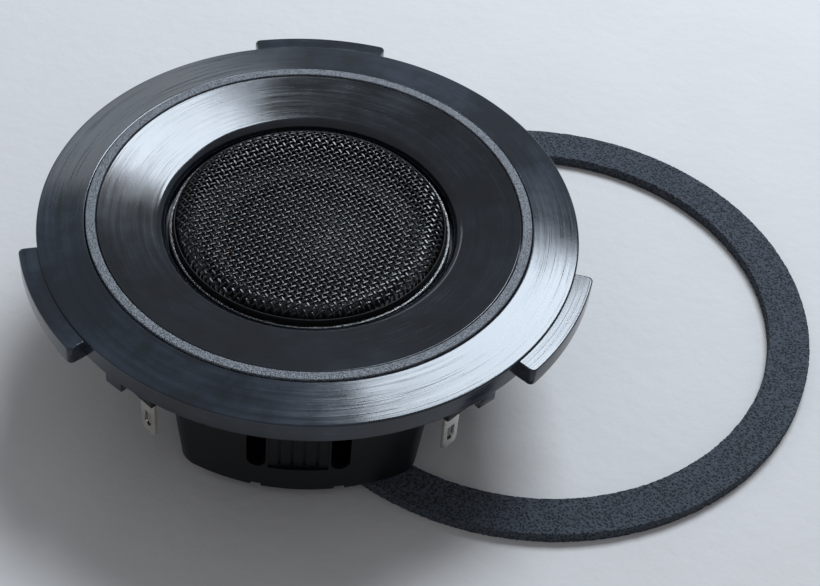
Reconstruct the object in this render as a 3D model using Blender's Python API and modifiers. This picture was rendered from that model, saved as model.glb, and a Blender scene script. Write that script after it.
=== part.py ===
"""Car tweeter: a dome loudspeaker in a bayonet bezel, with its loose foam gasket.

Frame: metres, +Z along the speaker's axis towards the listener, origin on the axis in the plane of the flange's
seat. +Y points to the single rear tab; the pair of front tabs, the latch panel and the terminals face -Y.
"""

import math

import bmesh
import bpy
from mathutils import Matrix, Vector

MM = 0.001

# Clearance between solids that touch in the real object.
GAP = 0.3 * MM

# Facets of a full turn.
BIG_STEPS = 48
SMALL_STEPS = 32

# Bezel: the outer flange with its turned, gently conical face.
FLANGE_R = 33.0 * MM
FACE_RISE = 0.85 * MM
FACE_WIDTH = 5.74 * MM
SKIRT_HEIGHT = 2.7 * MM
SKIRT_WALL = 1.4 * MM
BEZEL_PLATE = 1.5 * MM
BEZEL_LEDGE_WIDTH = 2.26 * MM
BEZEL_LEDGE_DEPTH = 0.6 * MM
EDGE_BREAK = 0.25 * MM

# Bayonet tabs round the flange, and the claws under its skirt.
TAB_AZIMUTHS = (90.0, -27.0, -153.0)
TAB_SPAN = 29.0
TAB_REACH = 2.2 * MM
TAB_THICKNESS = 2.6 * MM
TAB_DROP = 0.25 * MM
CLAW_AZIMUTHS = (-49.5, -130.5, 49.5, 130.5)
CLAW_WIDTH = 2.6 * MM
CLAW_HEIGHT = 1.6 * MM
CLAW_WALL = 1.1 * MM

# Grained trim ring between the bezel and the waveguide.
TRIM_WIDTH = 0.85 * MM
TRIM_PROUD = 0.2 * MM

# Waveguide: the shallow horn, its throat and the seat of the grille.
HORN_RIM_STEP = 0.15 * MM
HORN_LIP_WIDTH = 1.5 * MM
HORN_LIP_DROP = 0.2 * MM
THROAT_R = 17.6 * MM
THROAT_EDGE_DROP = 1.6 * MM
THROAT_LEDGE_DROP = 2.6 * MM
THROAT_LEDGE_WIDTH = 1.2 * MM
THROAT_WALL = 1.6 * MM
KNEE_WIDTH_SHARE = 0.45
KNEE_HEIGHT_SHARE = 0.75

# Grille: a domed wire mesh held down by a thin ring.
GRILLE_RISE = 3.1 * MM
CROWN_SHARE = 0.3
CROWN_POWER = 2.5
GRILLE_SHEET = 0.3 * MM
GRILLE_SHOULDER = 0.9 * MM
GRILLE_RING_WIDTH = 0.55 * MM
GRILLE_RING_HEIGHT = 0.35 * MM

# Moving assembly.
DOME_R = 9.95 * MM
DOME_RISE = 3.8 * MM
DOME_PLANE_DROP = 4.95 * MM
SHEET = 0.25 * MM
ROLL_WIDTH = 2.9 * MM
ROLL_RISE = 1.3 * MM
FORMER_WALL = 0.25 * MM
FORMER_LENGTH = 5.05 * MM
FORMER_INSET = 0.25 * MM
COIL_WALL = 0.5 * MM
COIL_LENGTH = 2.5 * MM
COIL_LIFT = 0.1 * MM

# Mounting ring of the surround, and the motor.
FRAME_RING_HEIGHT = 1.25 * MM
FRAME_RING_CLEARANCE = 0.25 * MM
COIL_CLEARANCE = 0.4 * MM
TOP_PLATE_THICKNESS = 2.1 * MM
MAGNET_INSET = 0.5 * MM
MAGNET_THICKNESS = 4.0 * MM
POT_WALL = 1.6 * MM
POT_FLOOR = 2.3 * MM
POT_ENGAGEMENT = 0.5 * MM
PAD_INSET = 1.55 * MM
PAD_THICKNESS = 1.2 * MM

# Rear housing: a round shoulder over a cup with two flat sides.
PLATE_THICKNESS = 1.4 * MM
SHOULDER_WALL = 1.4 * MM
SHOULDER_FLOOR = 1.2 * MM
CUP_INSET = 4.6 * MM
CUP_SIDE_CLEARANCE = 0.4 * MM
CUP_CORNER_R = 3.0 * MM
CUP_DRAFT = 0.115
CUP_WALL = 1.3 * MM
CUP_CEILING = 0.3 * MM
COVER_THICKNESS = 1.4 * MM
REAR_PAD_INSET = 2.5 * MM
REAR_PAD_THICKNESS = 1.3 * MM

# Latch panel on the cup: two slots, a recessed panel with flutes, and two pry notches.
SLOT_X = 5.0 * MM
SLOT_WIDTH = 2.3 * MM
SLOT_SILL = 3.9 * MM
SLOT_HEIGHT = 7.2 * MM
PANEL_WIDTH = 7.2 * MM
PANEL_DEPTH = 0.5 * MM
FLUTE_COUNT = 4
FLUTE_PITCH = 1.5 * MM
FLUTE_WIDTH = 0.35 * MM
FLUTE_DEPTH = 0.25 * MM
NOTCH_WIDTH = 1.2 * MM
NOTCH_HEIGHT = 0.6 * MM

# Terminals.
BLADE_WIDTH = 2.4 * MM
BLADE_THICKNESS = 0.4 * MM
BLADE_STANDOFF = 4.1 * MM
BLADE_AZIMUTH = -55.6
BLADE_TURN = 45.0
BLADE_TIP_DROP = 11.2 * MM
BLADE_EYE_WIDTH = 1.1 * MM
BLADE_EYE_LENGTH = 2.4 * MM
BLADE_EYE_MARGIN = 1.0 * MM
CARRIER_WIDTH = 3.8 * MM
CARRIER_DEPTH = 3.0 * MM
CARRIER_OUTER_WALL = 0.6 * MM
CARRIER_HEIGHT = 1.4 * MM
LEAD_R = 0.2 * MM
LEAD_HOLE_R = 0.7 * MM
LEAD_POINTS = 9
LEAD_SAG = 0.5 * MM

# Foam gasket, lying under the cup and out to the side.
GASKET_X = 30.6 * MM
GASKET_Y = 5.1 * MM
GASKET_OVERHANG = 0.8 * MM
GASKET_BAND = 5.4 * MM
GASKET_THICKNESS = 1.6 * MM
GASKET_EGG = 0.57 * MM
GASKET_EGG_AZIMUTH = 44.5

COLLECTION = "car_tweeter"
CUTTERS = "cutters"

# Colour, roughness and metallic value of each material.
FINISHES = {
    "turned_black": ((0.020, 0.023, 0.030), 0.32, 0.0),
    "grained_grey": ((0.085, 0.095, 0.110), 0.60, 0.0),
    "horn_black": ((0.016, 0.018, 0.022), 0.30, 0.0),
    "mesh_steel": ((0.050, 0.052, 0.056), 0.30, 1.0),
    "gloss_black": ((0.008, 0.008, 0.009), 0.10, 0.0),
    "silk": ((0.012, 0.012, 0.013), 0.55, 0.0),
    "coated_cloth": ((0.015, 0.015, 0.016), 0.70, 0.0),
    "aluminium": ((0.700, 0.700, 0.720), 0.35, 1.0),
    "copper_wire": ((0.720, 0.300, 0.140), 0.30, 1.0),
    "zinc_steel": ((0.520, 0.530, 0.540), 0.35, 1.0),
    "magnet": ((0.350, 0.350, 0.360), 0.25, 1.0),
    "felt": ((0.045, 0.045, 0.050), 0.95, 0.0),
    "moulded_black": ((0.018, 0.018, 0.020), 0.45, 0.0),
    "tinned_brass": ((0.760, 0.740, 0.690), 0.28, 1.0),
    "foam": ((0.040, 0.040, 0.043), 0.95, 0.0),
}

# Heights and radii that several pieces share.
FACE_Z = SKIRT_HEIGHT
FACE_TOP_Z = FACE_Z + FACE_RISE
FACE_INNER_R = FLANGE_R - FACE_WIDTH
SKIRT_INNER_R = FLANGE_R - SKIRT_WALL
BEZEL_UNDER_Z = FACE_Z - BEZEL_PLATE
LEDGE_Z = FACE_Z - BEZEL_LEDGE_DEPTH
LEDGE_R = FACE_INNER_R - BEZEL_LEDGE_WIDTH
TRIM_OUTER_R = FACE_INNER_R - GAP
TRIM_INNER_R = TRIM_OUTER_R - TRIM_WIDTH
RIM_R = TRIM_INNER_R - GAP
HORN_LIP_R = THROAT_R + HORN_LIP_WIDTH
THROAT_LEDGE_Z = FACE_Z - THROAT_LEDGE_DROP
THROAT_TUBE_R = THROAT_R - THROAT_LEDGE_WIDTH
TUBE_OUTER_R = THROAT_R + THROAT_WALL
DOME_PLANE_Z = FACE_Z - DOME_PLANE_DROP
ROLL_INNER_R = DOME_R + GAP
ROLL_OUTER_R = ROLL_INNER_R + ROLL_WIDTH
FRAME_RING_INNER_R = ROLL_OUTER_R + FRAME_RING_CLEARANCE
FRAME_RING_TOP_Z = DOME_PLANE_Z - GAP
FRAME_RING_BOTTOM_Z = FRAME_RING_TOP_Z - FRAME_RING_HEIGHT
FORMER_R = DOME_R - FORMER_INSET
FORMER_INNER_R = FORMER_R - FORMER_WALL
FORMER_TOP_Z = DOME_PLANE_Z - GAP
FORMER_BOTTOM_Z = FORMER_TOP_Z - FORMER_LENGTH
COIL_INNER_R = FORMER_R + GAP
COIL_OUTER_R = COIL_INNER_R + COIL_WALL
COIL_BOTTOM_Z = FORMER_BOTTOM_Z + COIL_LIFT
TOP_PLATE_R = FORMER_INNER_R - COIL_CLEARANCE
PAD_R = TOP_PLATE_R - PAD_INSET
POT_INNER_R = COIL_OUTER_R + COIL_CLEARANCE
POT_R = POT_INNER_R + POT_WALL
PLATE_TOP_Z = BEZEL_UNDER_Z - GAP
PLATE_BOTTOM_Z = PLATE_TOP_Z - PLATE_THICKNESS
PLATE_R = SKIRT_INNER_R - GAP
CUP_R = PLATE_R - CUP_INSET
CUP_HALF_WIDTH = POT_R + CUP_SIDE_CLEARANCE + CUP_WALL
REAR_PAD_R = POT_R - REAR_PAD_INSET
SHOULDER_INNER_R = TUBE_OUTER_R + GAP
SHOULDER_R = SHOULDER_INNER_R + SHOULDER_WALL
SHOULDER_SEAT_Z = FRAME_RING_BOTTOM_Z - GAP
SHOULDER_BOTTOM_Z = SHOULDER_SEAT_Z - SHOULDER_FLOOR
POT_TOP_Z = SHOULDER_BOTTOM_Z + POT_ENGAGEMENT
TOP_PLATE_BOTTOM_Z = POT_TOP_Z - TOP_PLATE_THICKNESS
MAGNET_TOP_Z = TOP_PLATE_BOTTOM_Z - GAP
MAGNET_BOTTOM_Z = MAGNET_TOP_Z - MAGNET_THICKNESS
POT_FLOOR_Z = MAGNET_BOTTOM_Z - GAP
POT_BOTTOM_Z = POT_FLOOR_Z - POT_FLOOR
COVER_TOP_Z = POT_BOTTOM_Z - REAR_PAD_THICKNESS - 2 * GAP
BACK_Z = COVER_TOP_Z - COVER_THICKNESS
BLADE_X = (CUP_R + BLADE_STANDOFF) * math.cos(math.radians(BLADE_AZIMUTH))
BLADE_Y = (CUP_R + BLADE_STANDOFF) * math.sin(math.radians(BLADE_AZIMUTH))
BLADE_TOP_Z = PLATE_BOTTOM_Z - GAP
BLADE_TIP_Z = FACE_Z - BLADE_TIP_DROP
GASKET_MEAN_R = FLANGE_R + GASKET_OVERHANG


def clear_scene():
    for obj in list(bpy.data.objects):
        bpy.data.objects.remove(obj, do_unlink=True)


def new_collection(name):
    collection = bpy.data.collections.new(name)
    bpy.context.scene.collection.children.link(collection)
    return collection


def material(name):
    found = bpy.data.materials.get(name)
    if found:
        return found
    colour, roughness, metallic = FINISHES[name]
    made = bpy.data.materials.new(name)
    made.use_nodes = True
    shader = made.node_tree.nodes["Principled BSDF"]
    shader.inputs["Base Color"].default_value = (*colour, 1.0)
    shader.inputs["Roughness"].default_value = roughness
    shader.inputs["Metallic"].default_value = metallic
    return made


def place(mesh, name, finish):
    """A visible part of the tweeter."""
    obj = bpy.data.objects.new(name, mesh)
    mesh.materials.clear()
    mesh.materials.append(material(finish))
    bpy.data.collections[COLLECTION].objects.link(obj)
    return obj


def cutter(mesh, name):
    """A helper for Boolean modifiers, never rendered."""
    obj = bpy.data.objects.new(name, mesh)
    obj.hide_render = True
    obj.display_type = "WIRE"
    bpy.data.collections[CUTTERS].objects.link(obj)
    return obj


def mesh_from(name, build):
    """A mesh made by build(bm), with its faces pointing out."""
    bm = bmesh.new()
    build(bm)
    bmesh.ops.recalc_face_normals(bm, faces=bm.faces)
    mesh = bpy.data.meshes.new(name)
    bm.to_mesh(mesh)
    bm.free()
    return mesh


def profile_mesh(name, points, closed):
    """A line of (radius, height) points in the XZ plane, for a Screw modifier."""
    edges = [(i, i + 1) for i in range(len(points) - 1)]
    if closed:
        edges.append((len(points) - 1, 0))
    mesh = bpy.data.meshes.new(name)
    mesh.from_pydata([(r, 0.0, z) for r, z in points], edges, [])
    return mesh


def turn(obj, steps):
    screw = obj.modifiers.new("turned", "SCREW")
    screw.axis = "Z"
    screw.angle = math.tau
    screw.steps = steps
    screw.render_steps = steps
    screw.use_merge_vertices = True
    screw.merge_threshold = 0.00001
    return obj


def turned(name, finish, points, steps, closed=True):
    """A turned part. The profile runs out along the top, down the outside and back underneath."""
    return turn(place(profile_mesh(name, points, closed), name, finish), steps)


def turned_cutter(name, points, steps, closed=True):
    return turn(cutter(profile_mesh(name, points, closed), name), steps)


def ring_profile(inner, outer, bottom, top):
    return [(inner, top), (outer, top), (outer, bottom), (inner, bottom)]


def disc_profile(outer, bottom, top):
    return [(0.0, top), (outer, top), (outer, bottom), (0.0, bottom)]


def block_mesh(name, low, high):
    """A box between two corners."""
    low = Vector(low)
    high = Vector(high)

    def build(bm):
        bmesh.ops.create_cube(bm, size=1.0)
        bmesh.ops.scale(bm, vec=high - low, verts=bm.verts)
        bmesh.ops.translate(bm, vec=(low + high) / 2, verts=bm.verts)

    return mesh_from(name, build)


def prism(bm, outline, levels):
    """Lofts outline(z), a list of (x, y) with the same count at each level, through the levels and caps it."""
    rings = [[bm.verts.new((x, y, z)) for x, y in outline(z)] for z in levels]
    count = len(rings[0])
    for lower, upper in zip(rings, rings[1:]):
        for i in range(count):
            j = (i + 1) % count
            bm.faces.new((lower[i], lower[j], upper[j], upper[i]))
    bm.faces.new(rings[0])
    bm.faces.new(rings[-1])


def sector_outline(inner, outer, azimuth, span, steps):
    """A piece of a ring, seen from above, centred on azimuth."""
    start = math.radians(azimuth - span / 2)
    angles = [start + math.radians(span) * i / steps for i in range(steps + 1)]
    points = [(outer * math.cos(a), outer * math.sin(a)) for a in angles]
    points += [(inner * math.cos(a), inner * math.sin(a)) for a in reversed(angles)]
    return points


def cup_outline(radius, half_width, corner):
    """A circle cut off by two flat sides at +-half_width, with rounded corners."""
    centre_x = half_width - corner
    centre_y = math.sqrt((radius - corner) ** 2 - centre_x**2)
    turn_angle = math.atan2(centre_y, centre_x)
    quarter = []
    for i in range(5):
        angle = turn_angle * i / 4
        quarter.append((centre_x + corner * math.cos(angle), centre_y + corner * math.sin(angle)))
    for i in range(1, 6):
        angle = turn_angle + (math.pi / 2 - turn_angle) * i / 5
        quarter.append((radius * math.cos(angle), radius * math.sin(angle)))
    left = [(-x, y) for x, y in reversed(quarter[:-1])]
    half = quarter + left
    return half + [(-x, -y) for x, y in half]


def cup_section(inset):
    """The cup's outline at each height, drawn in by inset; its sides lean out towards the flange."""

    def outline(z):
        lean = CUP_DRAFT * (z - BACK_Z)
        return cup_outline(CUP_R - inset, CUP_HALF_WIDTH + lean - inset, CUP_CORNER_R - inset)

    return outline


def boolean(obj, tool, operation):
    modifier = obj.modifiers.new(f"{operation.lower()} {tool.name}", "BOOLEAN")
    modifier.operation = operation
    modifier.object = tool
    modifier.solver = "EXACT"


def cut(obj, tool):
    boolean(obj, tool, "DIFFERENCE")


def cut_all(obj, tools, name):
    """Cuts every tool in one Boolean, through a collection that holds them."""
    group = bpy.data.collections.new(name)
    bpy.data.collections[CUTTERS].children.link(group)
    for tool in tools:
        group.objects.link(tool)
    modifier = obj.modifiers.new(name, "BOOLEAN")
    modifier.operation = "DIFFERENCE"
    modifier.operand_type = "COLLECTION"
    modifier.collection = group
    modifier.solver = "EXACT"


def join(obj, tool):
    boolean(obj, tool, "UNION")


def make_bezel():
    points = [
        (FACE_INNER_R, FACE_TOP_Z),
        (FLANGE_R - EDGE_BREAK, FACE_Z),
        (FLANGE_R, FACE_Z - EDGE_BREAK),
        (FLANGE_R, 0.0),
        (SKIRT_INNER_R, 0.0),
        (SKIRT_INNER_R, BEZEL_UNDER_Z),
        (LEDGE_R, BEZEL_UNDER_Z),
        (LEDGE_R, LEDGE_Z),
        (FACE_INNER_R, LEDGE_Z),
    ]
    bezel = turned("front_bezel", "turned_black", points, BIG_STEPS)
    tab_top = FACE_Z - TAB_DROP
    tab_inner = FLANGE_R - SKIRT_WALL / 2
    for number, azimuth in enumerate(TAB_AZIMUTHS, 1):
        outline = sector_outline(tab_inner, FLANGE_R + TAB_REACH, azimuth, TAB_SPAN, 8)
        levels = (tab_top - TAB_THICKNESS, tab_top)
        mesh = mesh_from(f"tab_{number}", lambda bm, o=outline, v=levels: prism(bm, lambda z: o, v))
        join(bezel, cutter(mesh, f"tab_{number}"))
    for number, azimuth in enumerate(CLAW_AZIMUTHS, 1):
        low = (SKIRT_INNER_R + SKIRT_WALL / 2 - CLAW_WALL / 2, -CLAW_WIDTH / 2, -CLAW_HEIGHT)
        high = (low[0] + CLAW_WALL, CLAW_WIDTH / 2, SKIRT_WALL / 2)
        mesh = block_mesh(f"claw_{number}", low, high)
        mesh.transform(Matrix.Rotation(math.radians(azimuth), 4, "Z"))
        join(bezel, cutter(mesh, f"claw_{number}"))


def make_trim_ring():
    bottom = LEDGE_Z + GAP
    top = FACE_TOP_Z + TRIM_PROUD
    turned("trim_ring", "grained_grey", ring_profile(TRIM_INNER_R, TRIM_OUTER_R, bottom, top), BIG_STEPS)


def make_waveguide():
    rim_z = FACE_TOP_Z + TRIM_PROUD - HORN_RIM_STEP
    lip_z = FACE_Z - HORN_LIP_DROP
    edge_z = FACE_Z - THROAT_EDGE_DROP
    shelf_z = BEZEL_UNDER_Z
    seat_r = LEDGE_R - GAP
    knee_r = THROAT_R + HORN_LIP_WIDTH * KNEE_WIDTH_SHARE
    knee_z = edge_z + (lip_z - edge_z) * KNEE_HEIGHT_SHARE
    points = [
        (THROAT_R, edge_z),
        (knee_r, knee_z),
        (HORN_LIP_R, lip_z),
        (RIM_R, rim_z),
        (RIM_R, LEDGE_Z + GAP),
        (seat_r, LEDGE_Z + GAP),
        (seat_r, shelf_z + GAP),
        (TUBE_OUTER_R, shelf_z),
        (TUBE_OUTER_R, DOME_PLANE_Z),
        (THROAT_TUBE_R, DOME_PLANE_Z),
        (THROAT_TUBE_R, THROAT_LEDGE_Z),
        (THROAT_R, THROAT_LEDGE_Z),
    ]
    turned("waveguide", "horn_black", points, BIG_STEPS)


def grille_curve(offset):
    """(radius, height) points of the mesh dome from its centre out, moved in by offset."""
    top = THROAT_LEDGE_Z + GAP + GRILLE_SHEET + GRILLE_RISE - offset
    edge_r = THROAT_TUBE_R - offset
    foot_z = THROAT_LEDGE_Z + GAP + GRILLE_SHEET
    shoulder_r = edge_r - GRILLE_SHOULDER
    drop = GRILLE_RISE * CROWN_SHARE
    crown = [(shoulder_r * t, top - drop * t**CROWN_POWER) for t in (0.0, 0.35, 0.65, 0.88, 1.0)]
    shoulder = (edge_r - GRILLE_SHOULDER * 0.3, top - drop - (GRILLE_RISE - drop) * 0.35)
    return crown + [shoulder, (edge_r, foot_z)]


def make_grille():
    foot_top = THROAT_LEDGE_Z + GAP + GRILLE_SHEET
    foot_r = THROAT_R - GAP
    outer = grille_curve(0.0)
    inner = grille_curve(GRILLE_SHEET)
    inner[-1] = (inner[-1][0], foot_top - GRILLE_SHEET)
    points = outer + [(foot_r, foot_top), (foot_r, foot_top - GRILLE_SHEET)] + inner[::-1]
    turned("grille_mesh", "mesh_steel", points, BIG_STEPS, closed=False)
    ring_bottom = foot_top + GAP
    profile = ring_profile(foot_r - GRILLE_RING_WIDTH, foot_r, ring_bottom, ring_bottom + GRILLE_RING_HEIGHT)
    turned("grille_ring", "gloss_black", profile, BIG_STEPS)


def make_dome():
    """A spherical cap of cloth: outer side first, then the inner one."""
    radius = (DOME_R**2 + DOME_RISE**2) / (2 * DOME_RISE)
    half_angle = math.asin(DOME_R / radius)
    rim_z = DOME_PLANE_Z + SHEET
    centre_z = rim_z + DOME_RISE - radius
    steps = 6
    outer = []
    inner = []
    for i in range(steps + 1):
        angle = half_angle * i / steps
        outer.append((radius * math.sin(angle), centre_z + radius * math.cos(angle)))
        inner.append(((radius - SHEET) * math.sin(angle), centre_z + (radius - SHEET) * math.cos(angle)))
    foot = [(DOME_R, DOME_PLANE_Z), (inner[-1][0], DOME_PLANE_Z)]
    turned("dome", "silk", outer + foot + inner[::-1], SMALL_STEPS, closed=False)


def make_surround():
    """The half roll round the dome and the flat foot that is glued to the frame ring."""
    middle = (ROLL_INNER_R + ROLL_OUTER_R) / 2
    top_z = DOME_PLANE_Z + SHEET
    steps = 8
    outer = []
    inner = []
    for i in range(steps + 1):
        angle = math.pi * (1 - i / steps)
        half = ROLL_WIDTH / 2
        outer.append((middle + half * math.cos(angle), top_z + ROLL_RISE * math.sin(angle)))
        half -= SHEET
        inner.append((middle + half * math.cos(angle), DOME_PLANE_Z + (ROLL_RISE - SHEET) * math.sin(angle)))
    foot_r = THROAT_TUBE_R - GAP
    foot = [(foot_r, top_z), (foot_r, DOME_PLANE_Z)]
    root = [(ROLL_INNER_R, DOME_PLANE_Z)]
    turned("surround", "coated_cloth", outer + foot + inner[::-1] + root, SMALL_STEPS)


def make_coil():
    former = ring_profile(FORMER_INNER_R, FORMER_R, FORMER_BOTTOM_Z, FORMER_TOP_Z)
    turned("coil_former", "aluminium", former, SMALL_STEPS)
    coil = ring_profile(COIL_INNER_R, COIL_OUTER_R, COIL_BOTTOM_Z, COIL_BOTTOM_Z + COIL_LENGTH)
    turned("voice_coil", "copper_wire", coil, SMALL_STEPS)


def make_motor():
    plate = disc_profile(TOP_PLATE_R, TOP_PLATE_BOTTOM_Z, POT_TOP_Z)
    turned("top_plate", "zinc_steel", plate, SMALL_STEPS, closed=False)
    magnet = disc_profile(TOP_PLATE_R - MAGNET_INSET, MAGNET_BOTTOM_Z, MAGNET_TOP_Z)
    turned("magnet", "magnet", magnet, SMALL_STEPS, closed=False)
    pot = [
        (0.0, POT_FLOOR_Z),
        (POT_INNER_R, POT_FLOOR_Z),
        (POT_INNER_R, POT_TOP_Z),
        (POT_R, POT_TOP_Z),
        (POT_R, POT_BOTTOM_Z + EDGE_BREAK),
        (POT_R - EDGE_BREAK, POT_BOTTOM_Z),
        (0.0, POT_BOTTOM_Z),
    ]
    turned("pot", "zinc_steel", pot, SMALL_STEPS, closed=False)
    pad_bottom = POT_TOP_Z + GAP
    pad = disc_profile(PAD_R, pad_bottom, pad_bottom + PAD_THICKNESS)
    turned("dome_damping_pad", "felt", pad, SMALL_STEPS, closed=False)


def make_frame_ring():
    outer = SHOULDER_INNER_R - GAP
    profile = ring_profile(FRAME_RING_INNER_R, outer, FRAME_RING_BOTTOM_Z, FRAME_RING_TOP_Z)
    turned("diaphragm_frame", "moulded_black", profile, BIG_STEPS)


def slot_outline(width, height):
    """A slot with a round lower end: (x, z) points, its sill at z 0."""
    half = width / 2
    steps = 6
    arc = []
    for i in range(steps + 1):
        angle = math.pi * (1 + i / steps)
        arc.append((half * math.cos(angle), half + half * math.sin(angle)))
    return arc + [(half, height), (-half, height)]


def slot_mesh(name, centre_x, sill, width, height, near, far):
    """A slot's outline pushed through along Y, from near to far."""

    def build(bm):
        outline = [(centre_x + x, sill + z) for x, z in slot_outline(width, height)]
        rings = [[bm.verts.new((x, y, z)) for x, z in outline] for y in (near, far)]
        count = len(outline)
        for i in range(count):
            j = (i + 1) % count
            bm.faces.new((rings[0][i], rings[0][j], rings[1][j], rings[1][i]))
        bm.faces.new(rings[0])
        bm.faces.new(rings[1])

    return mesh_from(name, build)


def latch_side_cutters(side, label):
    """Slots, recessed panel, flutes and notches for the cup's wall that faces side (-1 or +1) along Y."""
    tools = []
    inner_y = side * (CUP_R - CUP_WALL - 2 * MM)
    outer_y = side * (CUP_R + 2 * MM)
    panel_y = side * (CUP_R - PANEL_DEPTH)
    flute_y = panel_y - side * FLUTE_DEPTH
    slot_sill = BACK_Z + SLOT_SILL
    slot_top = slot_sill + SLOT_HEIGHT
    for number, x in enumerate((-SLOT_X, SLOT_X), 1):
        mesh = slot_mesh(f"slot_{label}_{number}", x, slot_sill, SLOT_WIDTH, SLOT_HEIGHT, inner_y, outer_y)
        tools.append(cutter(mesh, mesh.name))
        low = (x - NOTCH_WIDTH / 2, min(inner_y, outer_y), BACK_Z - NOTCH_HEIGHT)
        high = (x + NOTCH_WIDTH / 2, max(inner_y, outer_y), BACK_Z + NOTCH_HEIGHT)
        mesh = block_mesh(f"notch_{label}_{number}", low, high)
        tools.append(cutter(mesh, mesh.name))
    low = (-PANEL_WIDTH / 2, min(panel_y, outer_y), slot_sill)
    high = (PANEL_WIDTH / 2, max(panel_y, outer_y), slot_top)
    mesh = block_mesh(f"panel_{label}", low, high)
    tools.append(cutter(mesh, mesh.name))
    for number in range(FLUTE_COUNT):
        x = (number - (FLUTE_COUNT - 1) / 2) * FLUTE_PITCH
        low = (x - FLUTE_WIDTH / 2, min(flute_y, outer_y), slot_sill + FLUTE_WIDTH)
        high = (x + FLUTE_WIDTH / 2, max(flute_y, outer_y), slot_top - FLUTE_WIDTH)
        mesh = block_mesh(f"flute_{label}_{number + 1}", low, high)
        tools.append(cutter(mesh, mesh.name))
    return tools


def lead_path(side):
    """The lead's route from the terminal blade in through the shoulder wall to the frame ring."""
    turn_angle = math.radians(BLADE_TURN)
    away = BLADE_THICKNESS / 2 + GAP + LEAD_R
    start = Vector((side * (BLADE_X - away * math.sin(turn_angle)), BLADE_Y + away * math.cos(turn_angle), 0.0))
    start.z = BLADE_TOP_Z - CARRIER_HEIGHT - GAP - LEAD_R - LEAD_SAG
    heading = Vector((start.x, start.y)).normalized()
    end_r = SHOULDER_INNER_R
    end = Vector((heading.x * end_r, heading.y * end_r, (FRAME_RING_TOP_Z + FRAME_RING_BOTTOM_Z) / 2))
    points = []
    for i in range(LEAD_POINTS):
        t = i / (LEAD_POINTS - 1)
        point = start.lerp(end, t)
        point.z -= LEAD_SAG * math.sin(math.pi * t)
        points.append(point)
    return points


def tube_mesh(name, points, radius):
    """A solid wire along the points."""
    curve = bpy.data.curves.new(name, "CURVE")
    curve.dimensions = "3D"
    curve.bevel_depth = radius
    curve.bevel_resolution = 2
    curve.use_fill_caps = True
    spline = curve.splines.new("POLY")
    spline.points.add(len(points) - 1)
    for slot, point in zip(spline.points, points):
        slot.co = (*point, 1.0)
    helper = bpy.data.objects.new(name, curve)
    bpy.context.scene.collection.objects.link(helper)
    graph = bpy.context.evaluated_depsgraph_get()
    mesh = bpy.data.meshes.new_from_object(helper.evaluated_get(graph))
    bpy.data.objects.remove(helper)
    bm = bmesh.new()
    bm.from_mesh(mesh)
    bmesh.ops.remove_doubles(bm, verts=bm.verts, dist=0.000001)
    bm.to_mesh(mesh)
    bm.free()
    return mesh


def make_housing():
    """The plate under the bezel, the round shoulder and the cup, hollowed and pierced."""
    top = PLATE_BOTTOM_Z + PLATE_THICKNESS / 2
    levels = (BACK_Z, top)
    housing = place(mesh_from("rear_housing", lambda bm: prism(bm, cup_section(0.0), levels)),
                    "rear_housing", "moulded_black")
    plate = turned_cutter("housing_plate", disc_profile(PLATE_R, PLATE_BOTTOM_Z, PLATE_TOP_Z), BIG_STEPS, False)
    join(housing, plate)
    shoulder_profile = disc_profile(SHOULDER_R, SHOULDER_BOTTOM_Z, top)
    join(housing, turned_cutter("housing_shoulder", shoulder_profile, BIG_STEPS, False))
    well = disc_profile(SHOULDER_INNER_R, SHOULDER_SEAT_Z, PLATE_TOP_Z + MM)
    bore = disc_profile(POT_R + GAP, SHOULDER_BOTTOM_Z - MM, PLATE_TOP_Z + MM)
    tools = [
        turned_cutter("shoulder_well", well, BIG_STEPS, False),
        turned_cutter("pot_bore", bore, BIG_STEPS, False),
    ]
    hollow_levels = (BACK_Z - MM, SHOULDER_BOTTOM_Z - CUP_CEILING)
    hollow = mesh_from("cup_hollow", lambda bm: prism(bm, cup_section(CUP_WALL), hollow_levels))
    tools.append(cutter(hollow, "cup_hollow"))
    tools += latch_side_cutters(-1, "front")
    tools += latch_side_cutters(1, "rear")
    for side, label in ((-1, "left"), (1, "right")):
        path = lead_path(side)
        inward = (path[-1] - path[-2]).normalized()
        hole = tube_mesh(f"lead_hole_{label}", path[1:] + [path[-1] + inward * MM], LEAD_HOLE_R)
        tools.append(cutter(hole, f"lead_hole_{label}"))
    cut_all(housing, tools, "housing_openings")


def make_rear_cover():
    inset = CUP_WALL + GAP
    mesh = mesh_from("rear_cover", lambda bm: prism(bm, cup_section(inset), (BACK_Z, COVER_TOP_Z)))
    place(mesh, "rear_cover", "moulded_black")
    pad = disc_profile(REAR_PAD_R, COVER_TOP_Z + GAP, POT_BOTTOM_Z - GAP)
    turned("rear_foam_pad", "foam", pad, SMALL_STEPS, closed=False)


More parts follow.
